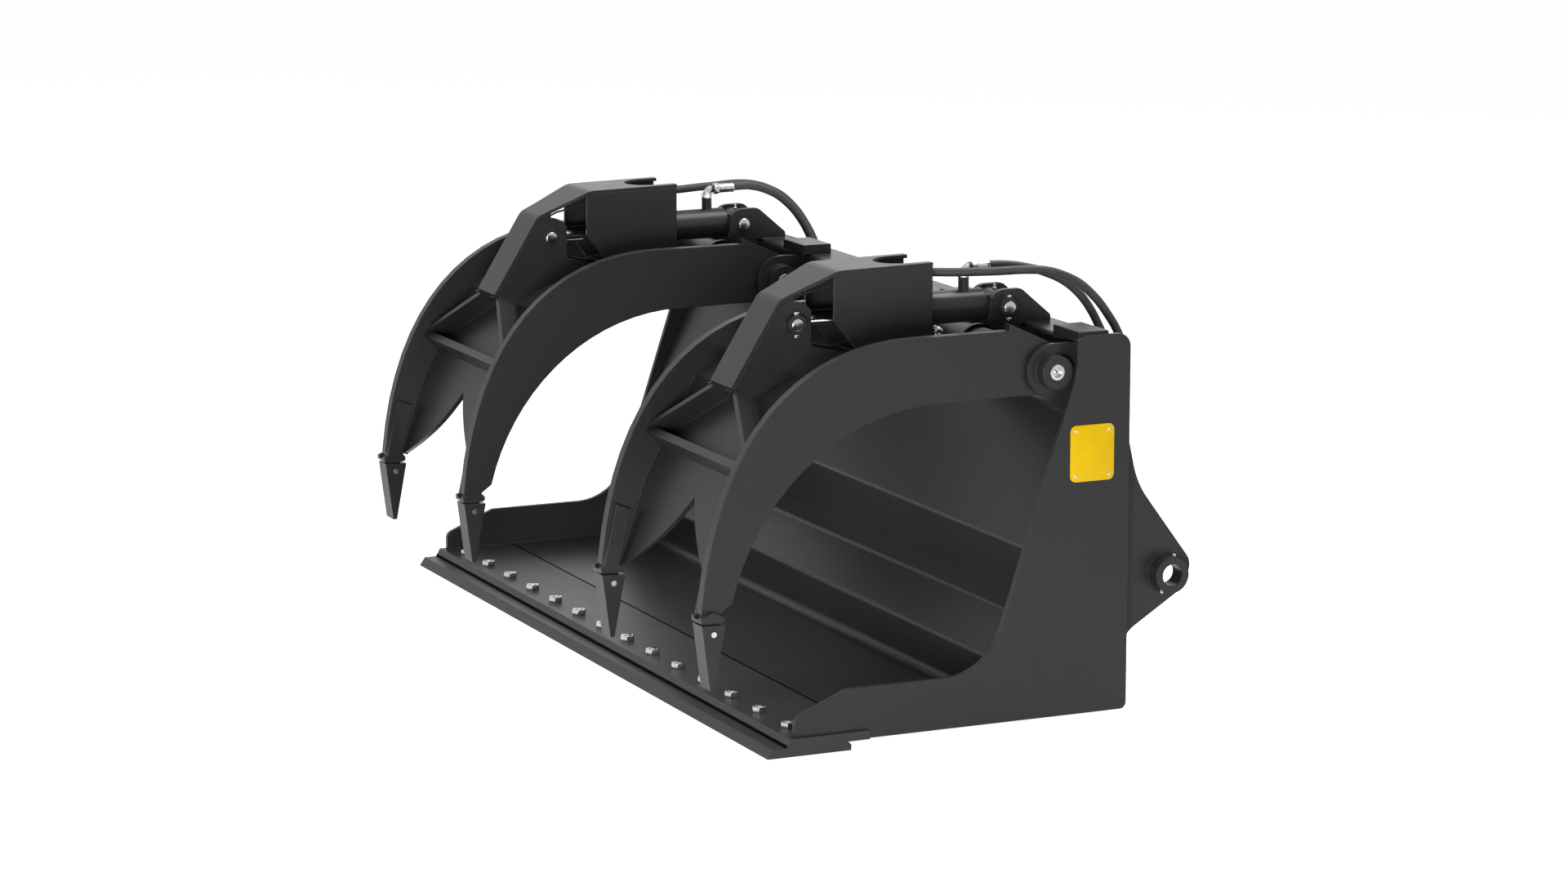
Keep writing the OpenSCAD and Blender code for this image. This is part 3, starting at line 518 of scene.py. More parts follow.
def plate_finish(name):
    """Yellow enamel of the blank plate."""
    material, nodes, links, shader = material_of(name)
    place = place_of(nodes)
    cloud = noise(nodes, links, place, 25, 4, 0.6)
    tone = clouded(nodes, links, cloud, (0.97, 0.60, 0.004), (1.0, 0.65, 0.006))
    links.new(tone, shader.inputs["Base Color"])
    links.new(ramp(nodes, links, cloud, 0.3, 0.7, 0.42, 0.52), shader.inputs["Roughness"])
    shader.inputs["Specular IOR Level"].default_value = 0.2
    return material


def weld_finish(name, colour, roughness):
    """The same paint over a rippled bead."""
    material, nodes, links, shader = material_of(name)
    place = place_of(nodes)
    grain = noise(nodes, links, place, 180, 4, 0.6)
    tone = clouded(nodes, links, grain, shade(colour, 0.9), shade(colour, 1.25))
    links.new(tone, shader.inputs["Base Color"])
    links.new(ramp(nodes, links, grain, 0.3, 0.7, roughness + 0.05, roughness + 0.15),
              shader.inputs["Roughness"])
    shader.inputs["Specular IOR Level"].default_value = 0.14
    links.new(relief(nodes, links, grain, 0.30, 0.0006), shader.inputs["Normal"])
    return material


def joint_shadow_finish(name, colour):
    """A near-black colour painted as the shade inside a joint, with a little dirt in it."""
    material, nodes, links, shader = material_of(name)
    dirt = noise(nodes, links, place_of(nodes), 120, 3, 0.6)
    tone = clouded(nodes, links, dirt, colour, shade(colour, 2.5))
    links.new(tone, shader.inputs["Base Color"])
    links.new(ramp(nodes, links, dirt, 0.3, 0.7, 0.75, 0.95), shader.inputs["Roughness"])
    shader.inputs["Specular IOR Level"].default_value = 0.04
    links.new(relief(nodes, links, dirt, 0.2, 0.0004), shader.inputs["Normal"])
    return material


NODE_FINISH = {
    "edge": ("base_edge", "bolt_on_edge", "wear_strips"),
    "zinc": ("edge_bolts", "edge_nuts", "hinge_bolts", "pivot_pins", "rear_pins", "tooth_pins",
             "rod_pin", "barrel_ports"),
    "chrome": ("rod",),
    "rubber": ("rod_hose", "base_hose"),
}


def finish_of(node):
    """The finish of a CAD node."""
    plain = node.replace("_right", "").replace("_left", "")
    for key, names in NODE_FINISH.items():
        if plain in names:
            return FINISH[key]
    return FINISH["paint"]


class GRAPPLE_OT_finishes(bpy.types.Operator):
    """Make the finishes and put them on the steel parts"""
    bl_idname = "grapple.finishes"
    bl_label = "Finishes"

    def execute(self, context):
        paint = context.scene.grapple_paint
        colour = tuple(paint.colour)
        FINISH["paint"] = paint_finish("charcoal_paint", colour, paint.gloss, paint.rounding)
        FINISH["edge"] = edge_finish("edge_paint", tuple(paint.edge_colour), paint.rounding)
        FINISH["zinc"] = zinc_finish("zinc_plate", tuple(context.scene.grapple_fasteners.zinc))
        FINISH["chrome"] = chrome_finish("chromed_rod")
        FINISH["rubber"] = rubber_finish("hose_rubber", tuple(context.scene.grapple_hoses.colour))
        FINISH["yellow"] = plate_finish("yellow_enamel")
        # The joint finish is a near-black painted shadow with a little dirt in it.
        FINISH["joint"] = joint_shadow_finish("open_joint", (0.002, 0.002, 0.002))
        FINISH["weld"] = weld_finish("painted_weld", colour, paint.gloss)
        for name, obj in frame["nodes"].items():
            obj.data.materials.clear()
            obj.data.materials.append(finish_of(name))
        return {"FINISHED"}


# Edge bolts and nuts

def threaded_end(radius, length, pitch=0.0025):
    """A bolt end with turned ridges and a chamfered tip."""
    bar = round_bar(radius, length, sides=24)
    pick(bar, "EDGE", lambda m, d: upright(d))
    bpy.ops.mesh.subdivide(number_cuts=max(3, 2 * int(length / pitch) - 1))
    done()
    step = length / (2 * int(length / pitch))
    pick(bar, "EDGE", lambda m, d: abs(d.z) < 1e-5 and 0.0001 < m.z < length - 0.0001
         and round(m.z / step) % 2 == 1)
    bpy.ops.transform.resize(value=(0.90, 0.90, 1), center_override=(0, 0, 0))
    done()
    chamfer(bar, 0.0012, lambda m, d: m.z > length - 1e-5 and abs(d.z) < 1e-5)
    return bar


def hex_nut(across, height):
    """A nut with turned corners."""
    nut = round_bar(across / 2 / math.cos(math.pi / 6), height, sides=6)
    cone = round_bar(across * 0.70, height, sides=48)
    pick(cone, "EDGE", lambda m, d: flat_ring(m, d) and m.z > height / 2)
    bpy.ops.mesh.bevel(offset=across * 0.115, segments=1, affect="EDGES")
    done()
    apply_modifier(nut, "BOOLEAN", operation="INTERSECT", solver="EXACT", object=cone)
    bpy.data.objects.remove(cone)
    apply_modifier(nut, "BEVEL", width=0.0006, segments=2, limit_method="ANGLE")
    return nut


def edge_nut(sizes):
    """A nut that stands on z = 0, with the bolt's end in it."""
    nut = hex_nut(sizes.nut_af, sizes.nut_height)
    end = threaded_end(sizes.bolt_d / 2, 0.006)
    end.data.transform(Matrix.Translation((0, 0, sizes.nut_height - 0.0045)))
    return joined([nut, end], "edge_nut")


def plough_bolt(sizes, bottom, top):
    """A shank along Z with a flat head that tapers into it."""
    head_spread = 1.86
    head_top = bottom + 0.0135
    bolt = round_bar(sizes.bolt_d / 2, top - bottom, (0, 0, bottom), 32)
    pick(bolt, "FACE", lambda m, n: n.z < -0.9)
    bpy.ops.transform.resize(value=(head_spread, head_spread, 1), center_override=(0, 0, 0))
    done()
    pick(bolt, "EDGE", lambda m, d: abs(d.normalized().z) > 0.5)
    bpy.ops.mesh.bisect(plane_co=(0, 0, head_top), plane_no=(0, 0, 1))
    done()
    for vertex in bolt.data.vertices:
        if abs(vertex.co.z - head_top) < 1e-5:
            flat = Vector((vertex.co.x, vertex.co.y)).normalized() * sizes.bolt_d / 2
            vertex.co.x, vertex.co.y = flat
    return bolt


class GRAPPLE_OT_edge_fasteners(bpy.types.Operator):
    """Plough bolts and nuts along the cutting edge"""
    bl_idname = "grapple.edge_fasteners"
    bl_label = "Edge fasteners"

    def execute(self, context):
        sizes = context.scene.grapple_fasteners
        low, high = (Vector(v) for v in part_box("edge_nuts"))
        bolt_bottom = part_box("edge_bolts")[0][2]
        count = 14
        corner = sizes.nut_af / 2 / math.cos(math.pi / 6)
        first = low.x + corner
        pitch = (high.x - low.x - 2 * corner) / (count - 1)
        row_y = (low.y + high.y) / 2
        model = edge_nut(sizes)
        shank = plough_bolt(sizes, bolt_bottom, low.z + 0.004)
        nuts, bolts = [], []
        for i in range(count):
            x = first + i * pitch
            turn = Matrix.Rotation(0.05 * math.sin(2.1 * i + 0.4), 4, "Z")
            nuts.append(twin(model, Matrix.Translation((x, row_y, low.z)) @ turn))
            bolts.append(twin(shank, Matrix.Translation((x, row_y, 0))))
        bpy.data.objects.remove(model)
        bpy.data.objects.remove(shank)
        finished(joined(nuts, "nuts"), "edge_nuts_turned", "bucket", "zinc", ("edge_nuts",), 30)
        finished(joined(bolts, "bolts"), "edge_bolts_plough", "bucket", "zinc", ("edge_bolts",), 30)
        return {"FINISHED"}


# Hoses

def eased(points, cuts=6):
    """A smooth line through the route's points."""
    line = []
    for i in range(len(points) - 1):
        a, b, c, d = (Vector(points[min(max(k, 0), len(points) - 1)]) for k in range(i - 1, i + 3))
        for j in range(cuts):
            t = j / cuts
            line.append(0.5 * (2 * b + (c - a) * t + (2 * a - 5 * b + 4 * c - d) * t * t
                               + (3 * b - a - 3 * c + d) * t ** 3))
    line.append(Vector(points[-1]))
    return line


def tube(name, line, radius, fineness=5, swells=None):
    """A mesh tube along a line, swollen at its points where that is asked for."""
    deselect()
    curve = bpy.data.curves.new(name, "CURVE")
    curve.dimensions = "3D"
    curve.bevel_depth = radius
    curve.bevel_resolution = fineness
    curve.use_fill_caps = True
    curve.twist_mode = "MINIMUM"
    spline = curve.splines.new("POLY")
    spline.points.add(len(line) - 1)
    for point, place, swell in zip(spline.points, line, swells or [1] * len(line)):
        point.co = (*place, 1)
        point.radius = swell
    obj = bpy.data.objects.new(name, curve)
    bpy.context.scene.collection.objects.link(obj)
    only(obj)
    bpy.ops.object.convert(target="MESH")
    return bpy.context.object


def ferrule(length, hose_radius):
    """A crimped ferrule with its pressed rings, along +Z."""
    shell = round_bar(hose_radius + 0.0018, length, sides=32)
    pick(shell, "EDGE", lambda m, d: upright(d))
    bpy.ops.mesh.subdivide(number_cuts=9)
    done()
    step = length / 10
    pick(shell, "EDGE", lambda m, d: abs(d.z) < 1e-5 and 0.15 * length < m.z < 0.95 * length
         and round(m.z / step) % 2 == 0)
    bpy.ops.transform.resize(value=(0.92, 0.92, 1), center_override=(0, 0, 0))
    done()
    chamfer(shell, 0.0012, lambda m, d: abs(d.z) < 1e-5 and (m.z < 1e-5 or m.z > length - 1e-5))
    return shell


class GRAPPLE_OT_hoses(bpy.types.Operator):
    """Two hoses for each cylinder, with their ferrules"""
    bl_idname = "grapple.hoses"
    bl_label = "Hoses"

    def execute(self, context):
        sizes = context.scene.grapple_hoses
        radius = sizes.diameter / 2
        for side, sign in SIDES.items():
            for kind, route in (("rod_hose", ROD_HOSE), ("base_hose", BASE_HOSE)):
                points = [at(sign * (GRAPPLE_X + x), y, z) for x, y, z in route]
                line = eased(points)
                hose = tube(f"{kind}_cover_{side}", line, radius)
                node = f"{kind}_{side}"
                finished(hose, hose.name, None, "rubber", (node,), 60)
                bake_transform(hose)
                shell = ferrule(TAIL_FERRULE, radius)
                shell.data.transform(Matrix.Translation(points[-1]) @ along((0, 1, 0)))
                finished(shell, f"{kind}_tail_{side}", "bucket", "zinc", (), 40)
        return {"FINISHED"}


# Elbows and seals of the cylinders

def on_cylinder(sign, x):
    """The place on a cylinder's axis, with +X towards the rod and +Z up."""
    run = ROD_AXIS.normalized()
    rise = Vector((0, run.z, -run.y))
    side = rise.cross(run)
    turn = Matrix((run, side, rise)).transposed().to_4x4()
    return Matrix.Translation(Vector((sign * GRAPPLE_X, REAR_PIN.y, REAR_PIN.z)) + run * x) @ turn


def ring(outer, inner, length):
    """A short tube with softened rims."""
    body = round_bar(outer, length)
    hole = round_bar(inner, length * 3, (0, 0, -length))
    cut(body, hole)
    chamfer(body, min(0.0015, (outer - inner) * 0.4),
            lambda m, d: flat_ring(m, d) and math.hypot(m.x, m.y) > (outer + inner) / 2)
    return body


def elbow(ferrule_length, hose_radius):
    """A bent fitting: it stands on its port and turns towards -X."""
    bend_radius, start, level = 0.015, 0.073, 0.088
    pipe = []
    for i in range(13):
        turn = math.radians(90 * i / 12)
        pipe.append(Vector((-bend_radius + bend_radius * math.cos(turn), 0,
                            start + bend_radius * math.sin(turn))))
    line = [Vector((0, 0, 0.062))] + pipe + [Vector((-0.028, 0, level))]
    bend = tube("bend", line, 0.0095)
    seat = hex_nut(0.024, 0.011)
    seat.data.transform(Matrix.Translation((0, 0, 0.0655)))
    swivel = hex_nut(0.025, 0.012)
    neck = round_bar(0.0118, 0.006, sides=32)
    chamfer(neck, 0.002, lambda m, d: flat_ring(m, d) and m.z < 0.001)
    shell = ferrule(ferrule_length, hose_radius)
    for piece, x in ((swivel, -0.0185), (neck, -0.0295), (shell, -0.0345)):
        piece.data.transform(Matrix.Translation((x, 0, level)) @ along((-1, 0, 0)))
    return joined([bend, seat, swivel, neck, shell], "elbow")


class GRAPPLE_OT_elbows(bpy.types.Operator):
    """Elbow fittings and rod seals of the cylinders"""
    bl_idname = "grapple.elbows"
    bl_label = "Elbows and seals"

    def execute(self, context):
        sizes = context.scene.grapple_hoses
        model = elbow(sizes.ferrule, sizes.diameter / 2)
        lip = ring(0.0255, 0.0172, 0.005)
        collar = ring(0.0362, 0.0345, 0.004)
        for side, sign in SIDES.items():
            body = f"barrel_{side}"
            pair = [twin(model, on_cylinder(sign, x)) for x in PORTS]
            finished(joined(pair, "elbows"), f"elbows_{side}", body, "zinc",
                     (f"barrel_ports_{side}",))
            seal = twin(lip, on_cylinder(sign, ROD_SEAL) @ along((1, 0, 0)))
            finished(seal, f"rod_seal_{side}", body, "rubber")
            bands = [twin(collar, on_cylinder(sign, x) @ along((1, 0, 0))) for x in GLAND_BANDS]
            finished(joined(bands, "bands"), f"gland_bands_{side}", body, "paint")
        for piece in (model, lip, collar):
            bpy.data.objects.remove(piece)
        return {"FINISHED"}


# Pins and small fasteners

def hex_bolt(across, head, radius, length):
    """A hex bolt whose head stands on z = 0 and whose shank runs down, with a nut below."""
    top = hex_nut(across, head)
    shank = round_bar(radius, length, (0, 0, -length), 24)
    nut = hex_nut(across, head)
    nut.data.transform(Matrix.Translation((0, 0, -length)))
    tip = threaded_end(radius, 0.0045, 0.0015)
    tip.data.transform(Matrix.Translation((0, 0, 0.003 - length)) @ Matrix.Rotation(
        math.pi, 4, "X"))
    return joined([top, shank, nut, tip], "hex_bolt")


def cross_pin(low, high, bolt_x, radius):
    """A cylinder pin along X with round ends, and its cross bolt."""
    pin = round_bar(radius, high - low)
    chamfer(pin, 0.0028, flat_ring, 3)
    pin.data.transform(Matrix.Translation((low, 0, 0)) @ along((1, 0, 0)))
    bolt = hex_bolt(0.0115, 0.0065, 0.004, 0.0510)
    bolt.data.transform(Matrix.Translation((bolt_x, 0, 0.0222)))
    return joined([pin, bolt], "cross_pin")


def grease_nipple():
    """A ball-headed grease nipple on its hexagon, along +Z."""
    base = hex_nut(0.0085, 0.0045)
    stem = round_bar(0.0030, 0.012, sides=24)
    pick(stem, "EDGE", lambda m, d: upright(d))
    bpy.ops.mesh.subdivide(number_cuts=5)
    done()
    pick(stem, "EDGE", lambda m, d: abs(d.z) < 1e-5 and 0.0065 < m.z < 0.0095)
    bpy.ops.transform.resize(value=(0.68, 0.68, 1), center_override=(0, 0, 0))
    done()
    chamfer(stem, 0.0011, lambda m, d: abs(d.z) < 1e-5 and m.z > 0.0118, 3)
    return joined([base, stem], "grease_nipple")


def dome_head(radius, height):
    """A domed button head with a hex socket, along +Z."""
    head = round_bar(radius, height, sides=48)
    chamfer(head, height * 0.82, lambda m, d: flat_ring(m, d) and m.z > height / 2, 6)
    socket = round_bar(radius * 0.42, height, (0, 0, height * 0.45), 6)
    return cut(head, socket)


class GRAPPLE_OT_cylinder_pins(bpy.types.Operator):
    """Rear pins and rod pins with their collars and cross bolts"""
    bl_idname = "grapple.cylinder_pins"
    bl_label = "Cylinder pins"

    def execute(self, context):
        pin_end, bolt_x, pin_radius = 0.080, 0.071, 0.015
        rear, rod = (cross_pin(start, pin_end, bolt_x, pin_radius) for start in (-0.060, -0.064))
        collar = ring(0.022, 0.0149, 0.0230)
        rears, collars = [], []
        for side, sign in SIDES.items():
            body = f"grapple_{side}"
            mirror = Matrix.Diagonal((sign, 1, 1, 1))
            at_rear, at_rod = (Matrix.Translation((sign * GRAPPLE_X, pin.y, pin.z)) @ mirror
                               for pin in (REAR_PIN, ROD_PIN))
            rear_collar, rod_collar = (
                twin(collar, place @ Matrix.Translation((start, 0, 0)) @ along((1, 0, 0)))
                for place, start in ((at_rear, 0.054), (at_rod, 0.058)))
            collars.append(rear_collar)
            rears.append(twin(rear, at_rear))
            finished(rod_collar, f"rod_pin_collar_{side}", body, "paint")
            finished(twin(rod, at_rod), f"rod_pin_turned_{side}", body, "zinc", (f"rod_pin_{side}",))
        finished(joined(rears, "rears"), "rear_pins_turned", "bucket", "zinc", ("rear_pins",))
        finished(joined(collars, "collars"), "rear_pin_collars", "bucket", "paint")
        for piece in (rear, rod, collar):
            bpy.data.objects.remove(piece)
        return {"FINISHED"}


class GRAPPLE_OT_pivot_pins(bpy.types.Operator):
    """Tine pivot pins with a greasing recess in the outer end"""
    bl_idname = "grapple.pivot_pins"
    bl_label = "Pivot pins"

    def execute(self, context):
        start, end = 0.2375, 0.3405
        pin = round_bar(0.018, end - start)
        chamfer(pin, 0.0016, flat_ring, 2)
        cut(pin, round_bar(0.0118, 0.020, (0, 0, end - start - 0.009)))
        pins = []
        for sign in SIDES.values():
            for out in (1, -1):
                place = Matrix.Translation((sign * GRAPPLE_X + out * start, PIVOT.y, PIVOT.z))
                pins.append(twin(pin, place @ along((out, 0, 0))))
        bpy.data.objects.remove(pin)
        finished(joined(pins, "pins"), "pivot_pins_turned", "bucket", "zinc", ("pivot_pins",))
        return {"FINISHED"}


def grease_nipples():
    """Nipples on the barrels' eyes, in the pivot pins and on the spines."""
    nipple = grease_nipple()
    spots = {"bucket": [], "barrel_right": [], "barrel_left": [],
             "grapple_right": [], "grapple_left": []}
    for side, sign in SIDES.items():
        middle = sign * GRAPPLE_X
        place = Matrix.Translation((middle, REAR_PIN.y, REAR_PIN.z + 0.0315))
        spots[f"barrel_{side}"].append(twin(nipple, place))
        for out in (1, -1):
            place = Matrix.Translation((middle + out * 0.3312, PIVOT.y, PIVOT.z))
            spots["bucket"].append(twin(nipple, place @ along((out, 0, 0))))
        place = Matrix.Translation(at(middle + sign * RIB, -0.340, 0.872))
        spots[f"grapple_{side}"].append(twin(nipple, place @ along((sign, 0, 0))))
    for body, pieces in spots.items():
        finished(joined(pieces, "nipples"), f"grease_nipples_{body}", body, "zinc")
    bpy.data.objects.remove(nipple)


def dome_screws():
    """One dome screw on the outer rib of each spine."""
    dome = dome_head(0.0125, 0.007)
    for side, sign in SIDES.items():
        place = Matrix.Translation(at(sign * (GRAPPLE_X + RIB), -0.331, 0.860))
        finished(twin(dome, place @ along((sign, 0, 0))), f"dome_screw_{side}",
                 f"grapple_{side}", "zinc")
    bpy.data.objects.remove(dome)


def hinge_bolts():
    """The two ends of the cross bolt of each outer hinge boss."""
    head = hex_nut(0.0105, 0.004)
    head.data.transform(Matrix.Translation((0, 0, 0.043)))
    bolt = joined([head, round_bar(0.004, 0.018, (0, 0, 0.026), 24)], "hinge_bolt")
    bolts = []
    for sign in SIDES.values():
        for turn in (0, math.pi):
            place = Matrix.Translation(at(sign * 1.041, *HINGE_PLACE))
            tilt = Matrix.Rotation(math.radians(-21) + turn, 4, "X")
            bolts.append(twin(bolt, place @ tilt))
    bpy.data.objects.remove(bolt)
    finished(joined(bolts, "bolts"), "hinge_bolts_hex", "bucket", "zinc", ("hinge_bolts",))


class GRAPPLE_OT_small_fasteners(bpy.types.Operator):
    """Grease nipples, hinge boss bolts and dome screws"""
    bl_idname = "grapple.small_fasteners"
    bl_label = "Small fasteners"

    def execute(self, context):
        grease_nipples()
        dome_screws()
        hinge_bolts()
        return {"FINISHED"}


# Dark bars of painted shadow in the seams of the edges, and heads of the webs

def bar_across(half, low, high):
    """A bar from side to side, between two corners given by depth and height."""
    return block(at(-half, *low), at(half, *high))


class GRAPPLE_OT_seams(bpy.types.Operator):
    """Dark bars painted as the shadow in the joints beside the base edge, and the lap under the heel
    """
    bl_idname = "grapple.seams"
    bl_label = "Edge seams"

    def execute(self, context):
        # Near-black bars painted as the shadow in the seams; the front bar leans back at its top.
        rear = bar_across(INSIDE, *REAR_SEAM_SHADOW)
        front = bar_across(EDGE_END, *FRONT_SEAM_SHADOW)
        front_face = SHIFT + FRONT_SEAM_SHADOW[0][0]
        chamfer(rear, 0.0006, lambda m, d: lengthways(d) and m.z > REAR_SEAM_SHADOW[1][1] - 1e-4)
        pick(front, "EDGE", lambda m, d: lengthways(d) and m.z > FRONT_SEAM_SHADOW[1][1] - 1e-4
             and m.y < front_face + 1e-4)
        bpy.ops.transform.translate(value=(0, 0.0033, 0))
        done()
        finished(joined([rear, front], "seams"), "edge_seams", "bucket", "edge", finish="joint")
        finished(bar_across(INSIDE, *HEEL_LAP), "heel_lap", "bucket", "paint")
        return {"FINISHED"}


class GRAPPLE_OT_web_heads(bpy.types.Operator):
    """Folded heads of the web plates, between the tines"""
    bl_idname = "grapple.web_heads"
    bl_label = "Web heads"

    def execute(self, context):
        run = HEAD_TOP - HEAD_FOOT
        thickness = 0.012
        head = block((-TINE_IN, 0, -thickness), (TINE_IN, run.length, 0))
        chamfer(head, 0.0016, lambda m, d: lengthways(d) and m.y > 0.05)
        head.data.transform(Matrix.Rotation(math.atan2(run.y, run.x), 4, "X"))
        for side, sign in SIDES.items():
            place = Matrix.Translation(at(sign * GRAPPLE_X, *HEAD_FOOT))
            finished(twin(head, place), f"web_head_{side}", f"grapple_{side}", "paint")
        bpy.data.objects.remove(head)
        return {"FINISHED"}


# Plain sign

def sign_plate(low, high):
    """A thin plate with round corners and a softened face."""
    plate = block(low, high)
    chamfer(plate, 0.014, lambda m, d: lengthways(d), 6)
    chamfer(plate, 0.0006, lambda m, d: abs(d.normalized().x) < 0.1 and m.x > high.x - 1e-4)
    return plate


def sign_rivets(low, high, inset=0.013):
    """Four rivets near the corners of the plate."""
    rivets = []
    for y in (low.y + inset, high.y - inset):
        for z in (low.z + inset, high.z - inset):
            rivet = dome_head(0.0042, 0.0022)
            rivet.data.transform(Matrix.Translation((high.x, y, z)) @ along((1, 0, 0)))
            rivets.append(rivet)
    return joined(rivets, "rivets")


class GRAPPLE_OT_side_sign(bpy.types.Operator):
    """Blank yellow plates with rivets on the side plates"""
    bl_idname = "grapple.side_sign"
    bl_label = "Side signs"

    def execute(self, context):
        low = at(SIDE_FACE, *SIGN_CORNERS[0])
        high = at(SIDE_FACE + SIGN_THICKNESS, *SIGN_CORNERS[1])
        plate, rivets = sign_plate(low, high), sign_rivets(low, high)
        for side, sign in SIDES.items():
            mirror = Matrix.Diagonal((sign, 1, 1, 1))
            finished(twin(plate, mirror), f"blank_sign_{side}", "bucket", "paint", finish="yellow")
            finished(twin(rivets, mirror), f"sign_rivets_{side}", "bucket", "zinc")
        for piece in (plate, rivets):
            bpy.data.objects.remove(piece)
        return {"FINISHED"}


# Weld beads

def walked(points, step):
    """Points along a line at even steps."""
    line = [Vector(points[0])]
    for a, b in zip(points, points[1:]):
        a, b = Vector(a), Vector(b)
        count = max(1, round((b - a).length / step))
        line += [a.lerp(b, i / count) for i in range(1, count + 1)]
    return line


def circle_x(x, centre, radius):
    """Points of a circle round an axis along X."""
    count = 96
    turns = [math.radians(360 * i / count) for i in range(count + 1)]
    return [Vector((x, centre[0] + radius * math.cos(turn), centre[1] + radius * math.sin(turn)))
            for turn in turns]


def bead(points, leg, ripple):
    """A rippled weld bead along a line."""
    line = walked(points, ripple / 2)
    swells = [1 + (0.10 if i % 2 else -0.08) + 0.05 * math.sin(0.37 * i) for i in range(len(line))]
    return tube("bead", line, leg, 1, swells)


# Weld lines by depth and height, and on the beam's top by width and depth.
SHEET_LINE = [(-0.642, FLOOR_TOP), (-0.300, FLOOR_TOP), (-0.290, 0.052), (-0.302, 0.143),
              (-0.298, 0.154), (-0.214, 0.220), (-0.208, 0.238), (-0.248, 0.398),
              (-0.246, 0.418), (-0.130, 0.682), (-0.118, 0.712), (-0.118, 0.740)]
FLOOR_LINE = [(-0.820, FLOOR_TOP), (-0.642, FLOOR_TOP)]
LUG_LINE = [(-0.118, 0.692), (-0.118, 0.740), (-0.110, 0.744), (-0.110, 0.858)]
STOP_LINE = [(0.222, -0.108), (0.222, -0.050), (0.340, -0.050)]
WEB_LINE = [(-0.974, 0.318), (-0.935, 0.436), (-0.918, 0.487), (-0.906, 0.518), (-0.884, 0.560),
            (-0.783, 0.744)]
STRIP_LINE = [(-0.834, 0.764), (-0.738, 0.920), (-0.716, 0.949), (-0.672, 0.967), (-0.600, 0.983)]
ADAPTER_TOP = [(-1.0235, 0.315), (-0.997, 0.327), (-0.969, 0.314)]
ADAPTER_SIDE = [(-0.983, 0.320), (-0.949, 0.445), (-0.987, 0.461), (-1.017, 0.325)]

# The upper web plate: a point on it, the way up along it and the way out of it.
WEB_FOOT = Vector((0, -0.8071, 0.7002))
WEB_UP = Vector((0, 0.4827, 0.8758))
WEB_OUT = Vector((0, -0.8758, 0.4827))


def on_web(x, up, out=0.0):
    """A point on the web plate, or in front of it."""
    return WEB_FOOT + Vector((x, 0, 0)) + WEB_UP * up + WEB_OUT * out


def drawn(x, line):
    """A line in the plane across X."""
    return [(x, y, z) for y, z in line]


def bucket_seams():
    """Lines of the bucket's welds on the right-hand side, from the middle and the back line."""
    g = GRAPPLE_X
    lines = [drawn(INSIDE, SHEET_LINE), drawn(INSIDE, FLOOR_LINE)]
    lines += [circle_x(face, HINGE_PLACE, 0.0425) for face in (1.029, 0.869)]
    for out in (1, -1):
        lines.append(circle_x(g + out * 0.310, PIVOT_PLACE, 0.0385))
        lines += [drawn(g + out * face, LUG_LINE) for face in (0.298, 0.310)]
        for face in (0.039, 0.054):
            lines.append([(g + out * face, y, BEAM_TOP) for y in (-0.044, -0.108)])
        lines.append([(g + out * x, y, BEAM_TOP) for x, y in STOP_LINE])
    return lines


def grapple_seams():
    """Lines of a grapple's welds, from the middle of the grapple and the back line."""
    lines = [[on_web(-TINE_IN, -0.133), on_web(TINE_IN, -0.133)]]
    for out in (1, -1):
        face, back, rib = out * TINE_IN, out * TINE_OUT, out * RIB
        lines += [circle_x(x, PIVOT_PLACE, 0.0455) for x in (face, back, rib)]
        lines += [drawn(face, WEB_LINE), drawn(rib, STRIP_LINE)]
        for up in (0.045, 0.031):
            lines.append([on_web(rib, up, 0.050), on_web(rib, up), on_web(face, up - 0.138)])
        lines += [drawn(back, ADAPTER_TOP), drawn(face, ADAPTER_TOP), drawn(face, ADAPTER_SIDE)]
    return lines


class GRAPPLE_OT_welds(bpy.types.Operator):
    """Weld beads where plates, bosses and tubes meet"""
    bl_idname = "grapple.welds"
    bl_label = "Weld beads"

    def execute(self, context):
        sizes = context.scene.grapple_welds
        for side, sign in SIDES.items():
            mirror = Matrix.Diagonal((sign, 1, 1, 1))
            for body, name, lines, middle in (
                    ("bucket", f"welds_bucket_{side}", bucket_seams(), 0),
                    (f"grapple_{side}", f"welds_grapple_{side}", grapple_seams(), GRAPPLE_X)):
                beads = [bead(line, sizes.leg, sizes.ripple) for line in lines]
                seams = joined(beads, "seams")
                seams.data.transform(mirror @ Matrix.Translation((middle, SHIFT, 0)))
                if sign < 0:
                    seams.data.flip_normals()
                finished(seams, name, body, "paint", (), 60, "weld")
        return {"FINISHED"}


# Stage

LAMPS = (
    ("top_light", (0.2, 1.8, 4.9), 2.6, 185),
    ("side_light", (6.4, -3.4, 0.7), 1.5, 290),
    ("back_light", (-7.0, 3.6, 2.6), 3.5, 12),
)
LAMP_TARGET = Vector((0, 0, 0.4))
FLOOR_GLOW = 0.91
WORLD_LIGHT = 0.05


def facing(place, target):
    """The turn of a camera or lamp that looks at a point."""
    return (place - target).to_track_quat("Z", "Y").to_euler()


def seen_directly(nodes, links):
    """1 for rays from the camera or off a glossy surface, 0 for all others."""
    path = nodes.new("ShaderNodeLightPath")
    either = nodes.new("ShaderNodeMath")
    either.operation = "MAXIMUM"
    links.new(path.outputs["Is Camera Ray"], either.inputs[0])
    links.new(path.outputs["Is Glossy Ray"], either.inputs[1])
    return either.outputs[0]


def photo_camera(scene, stage):
    """The camera of the photo."""
    eye = Vector(stage.eye) + Vector((0, SHIFT, 0))
    target = Vector(stage.target) + Vector((0, SHIFT, 0))
    bpy.ops.object.camera_add(location=eye, rotation=facing(eye, target))
    camera = bpy.context.object
    camera.name = "photo_camera"
    camera.data.sensor_width = 36
    camera.data.lens = stage.lens
    camera.data.clip_end = 100
    scene.camera = camera


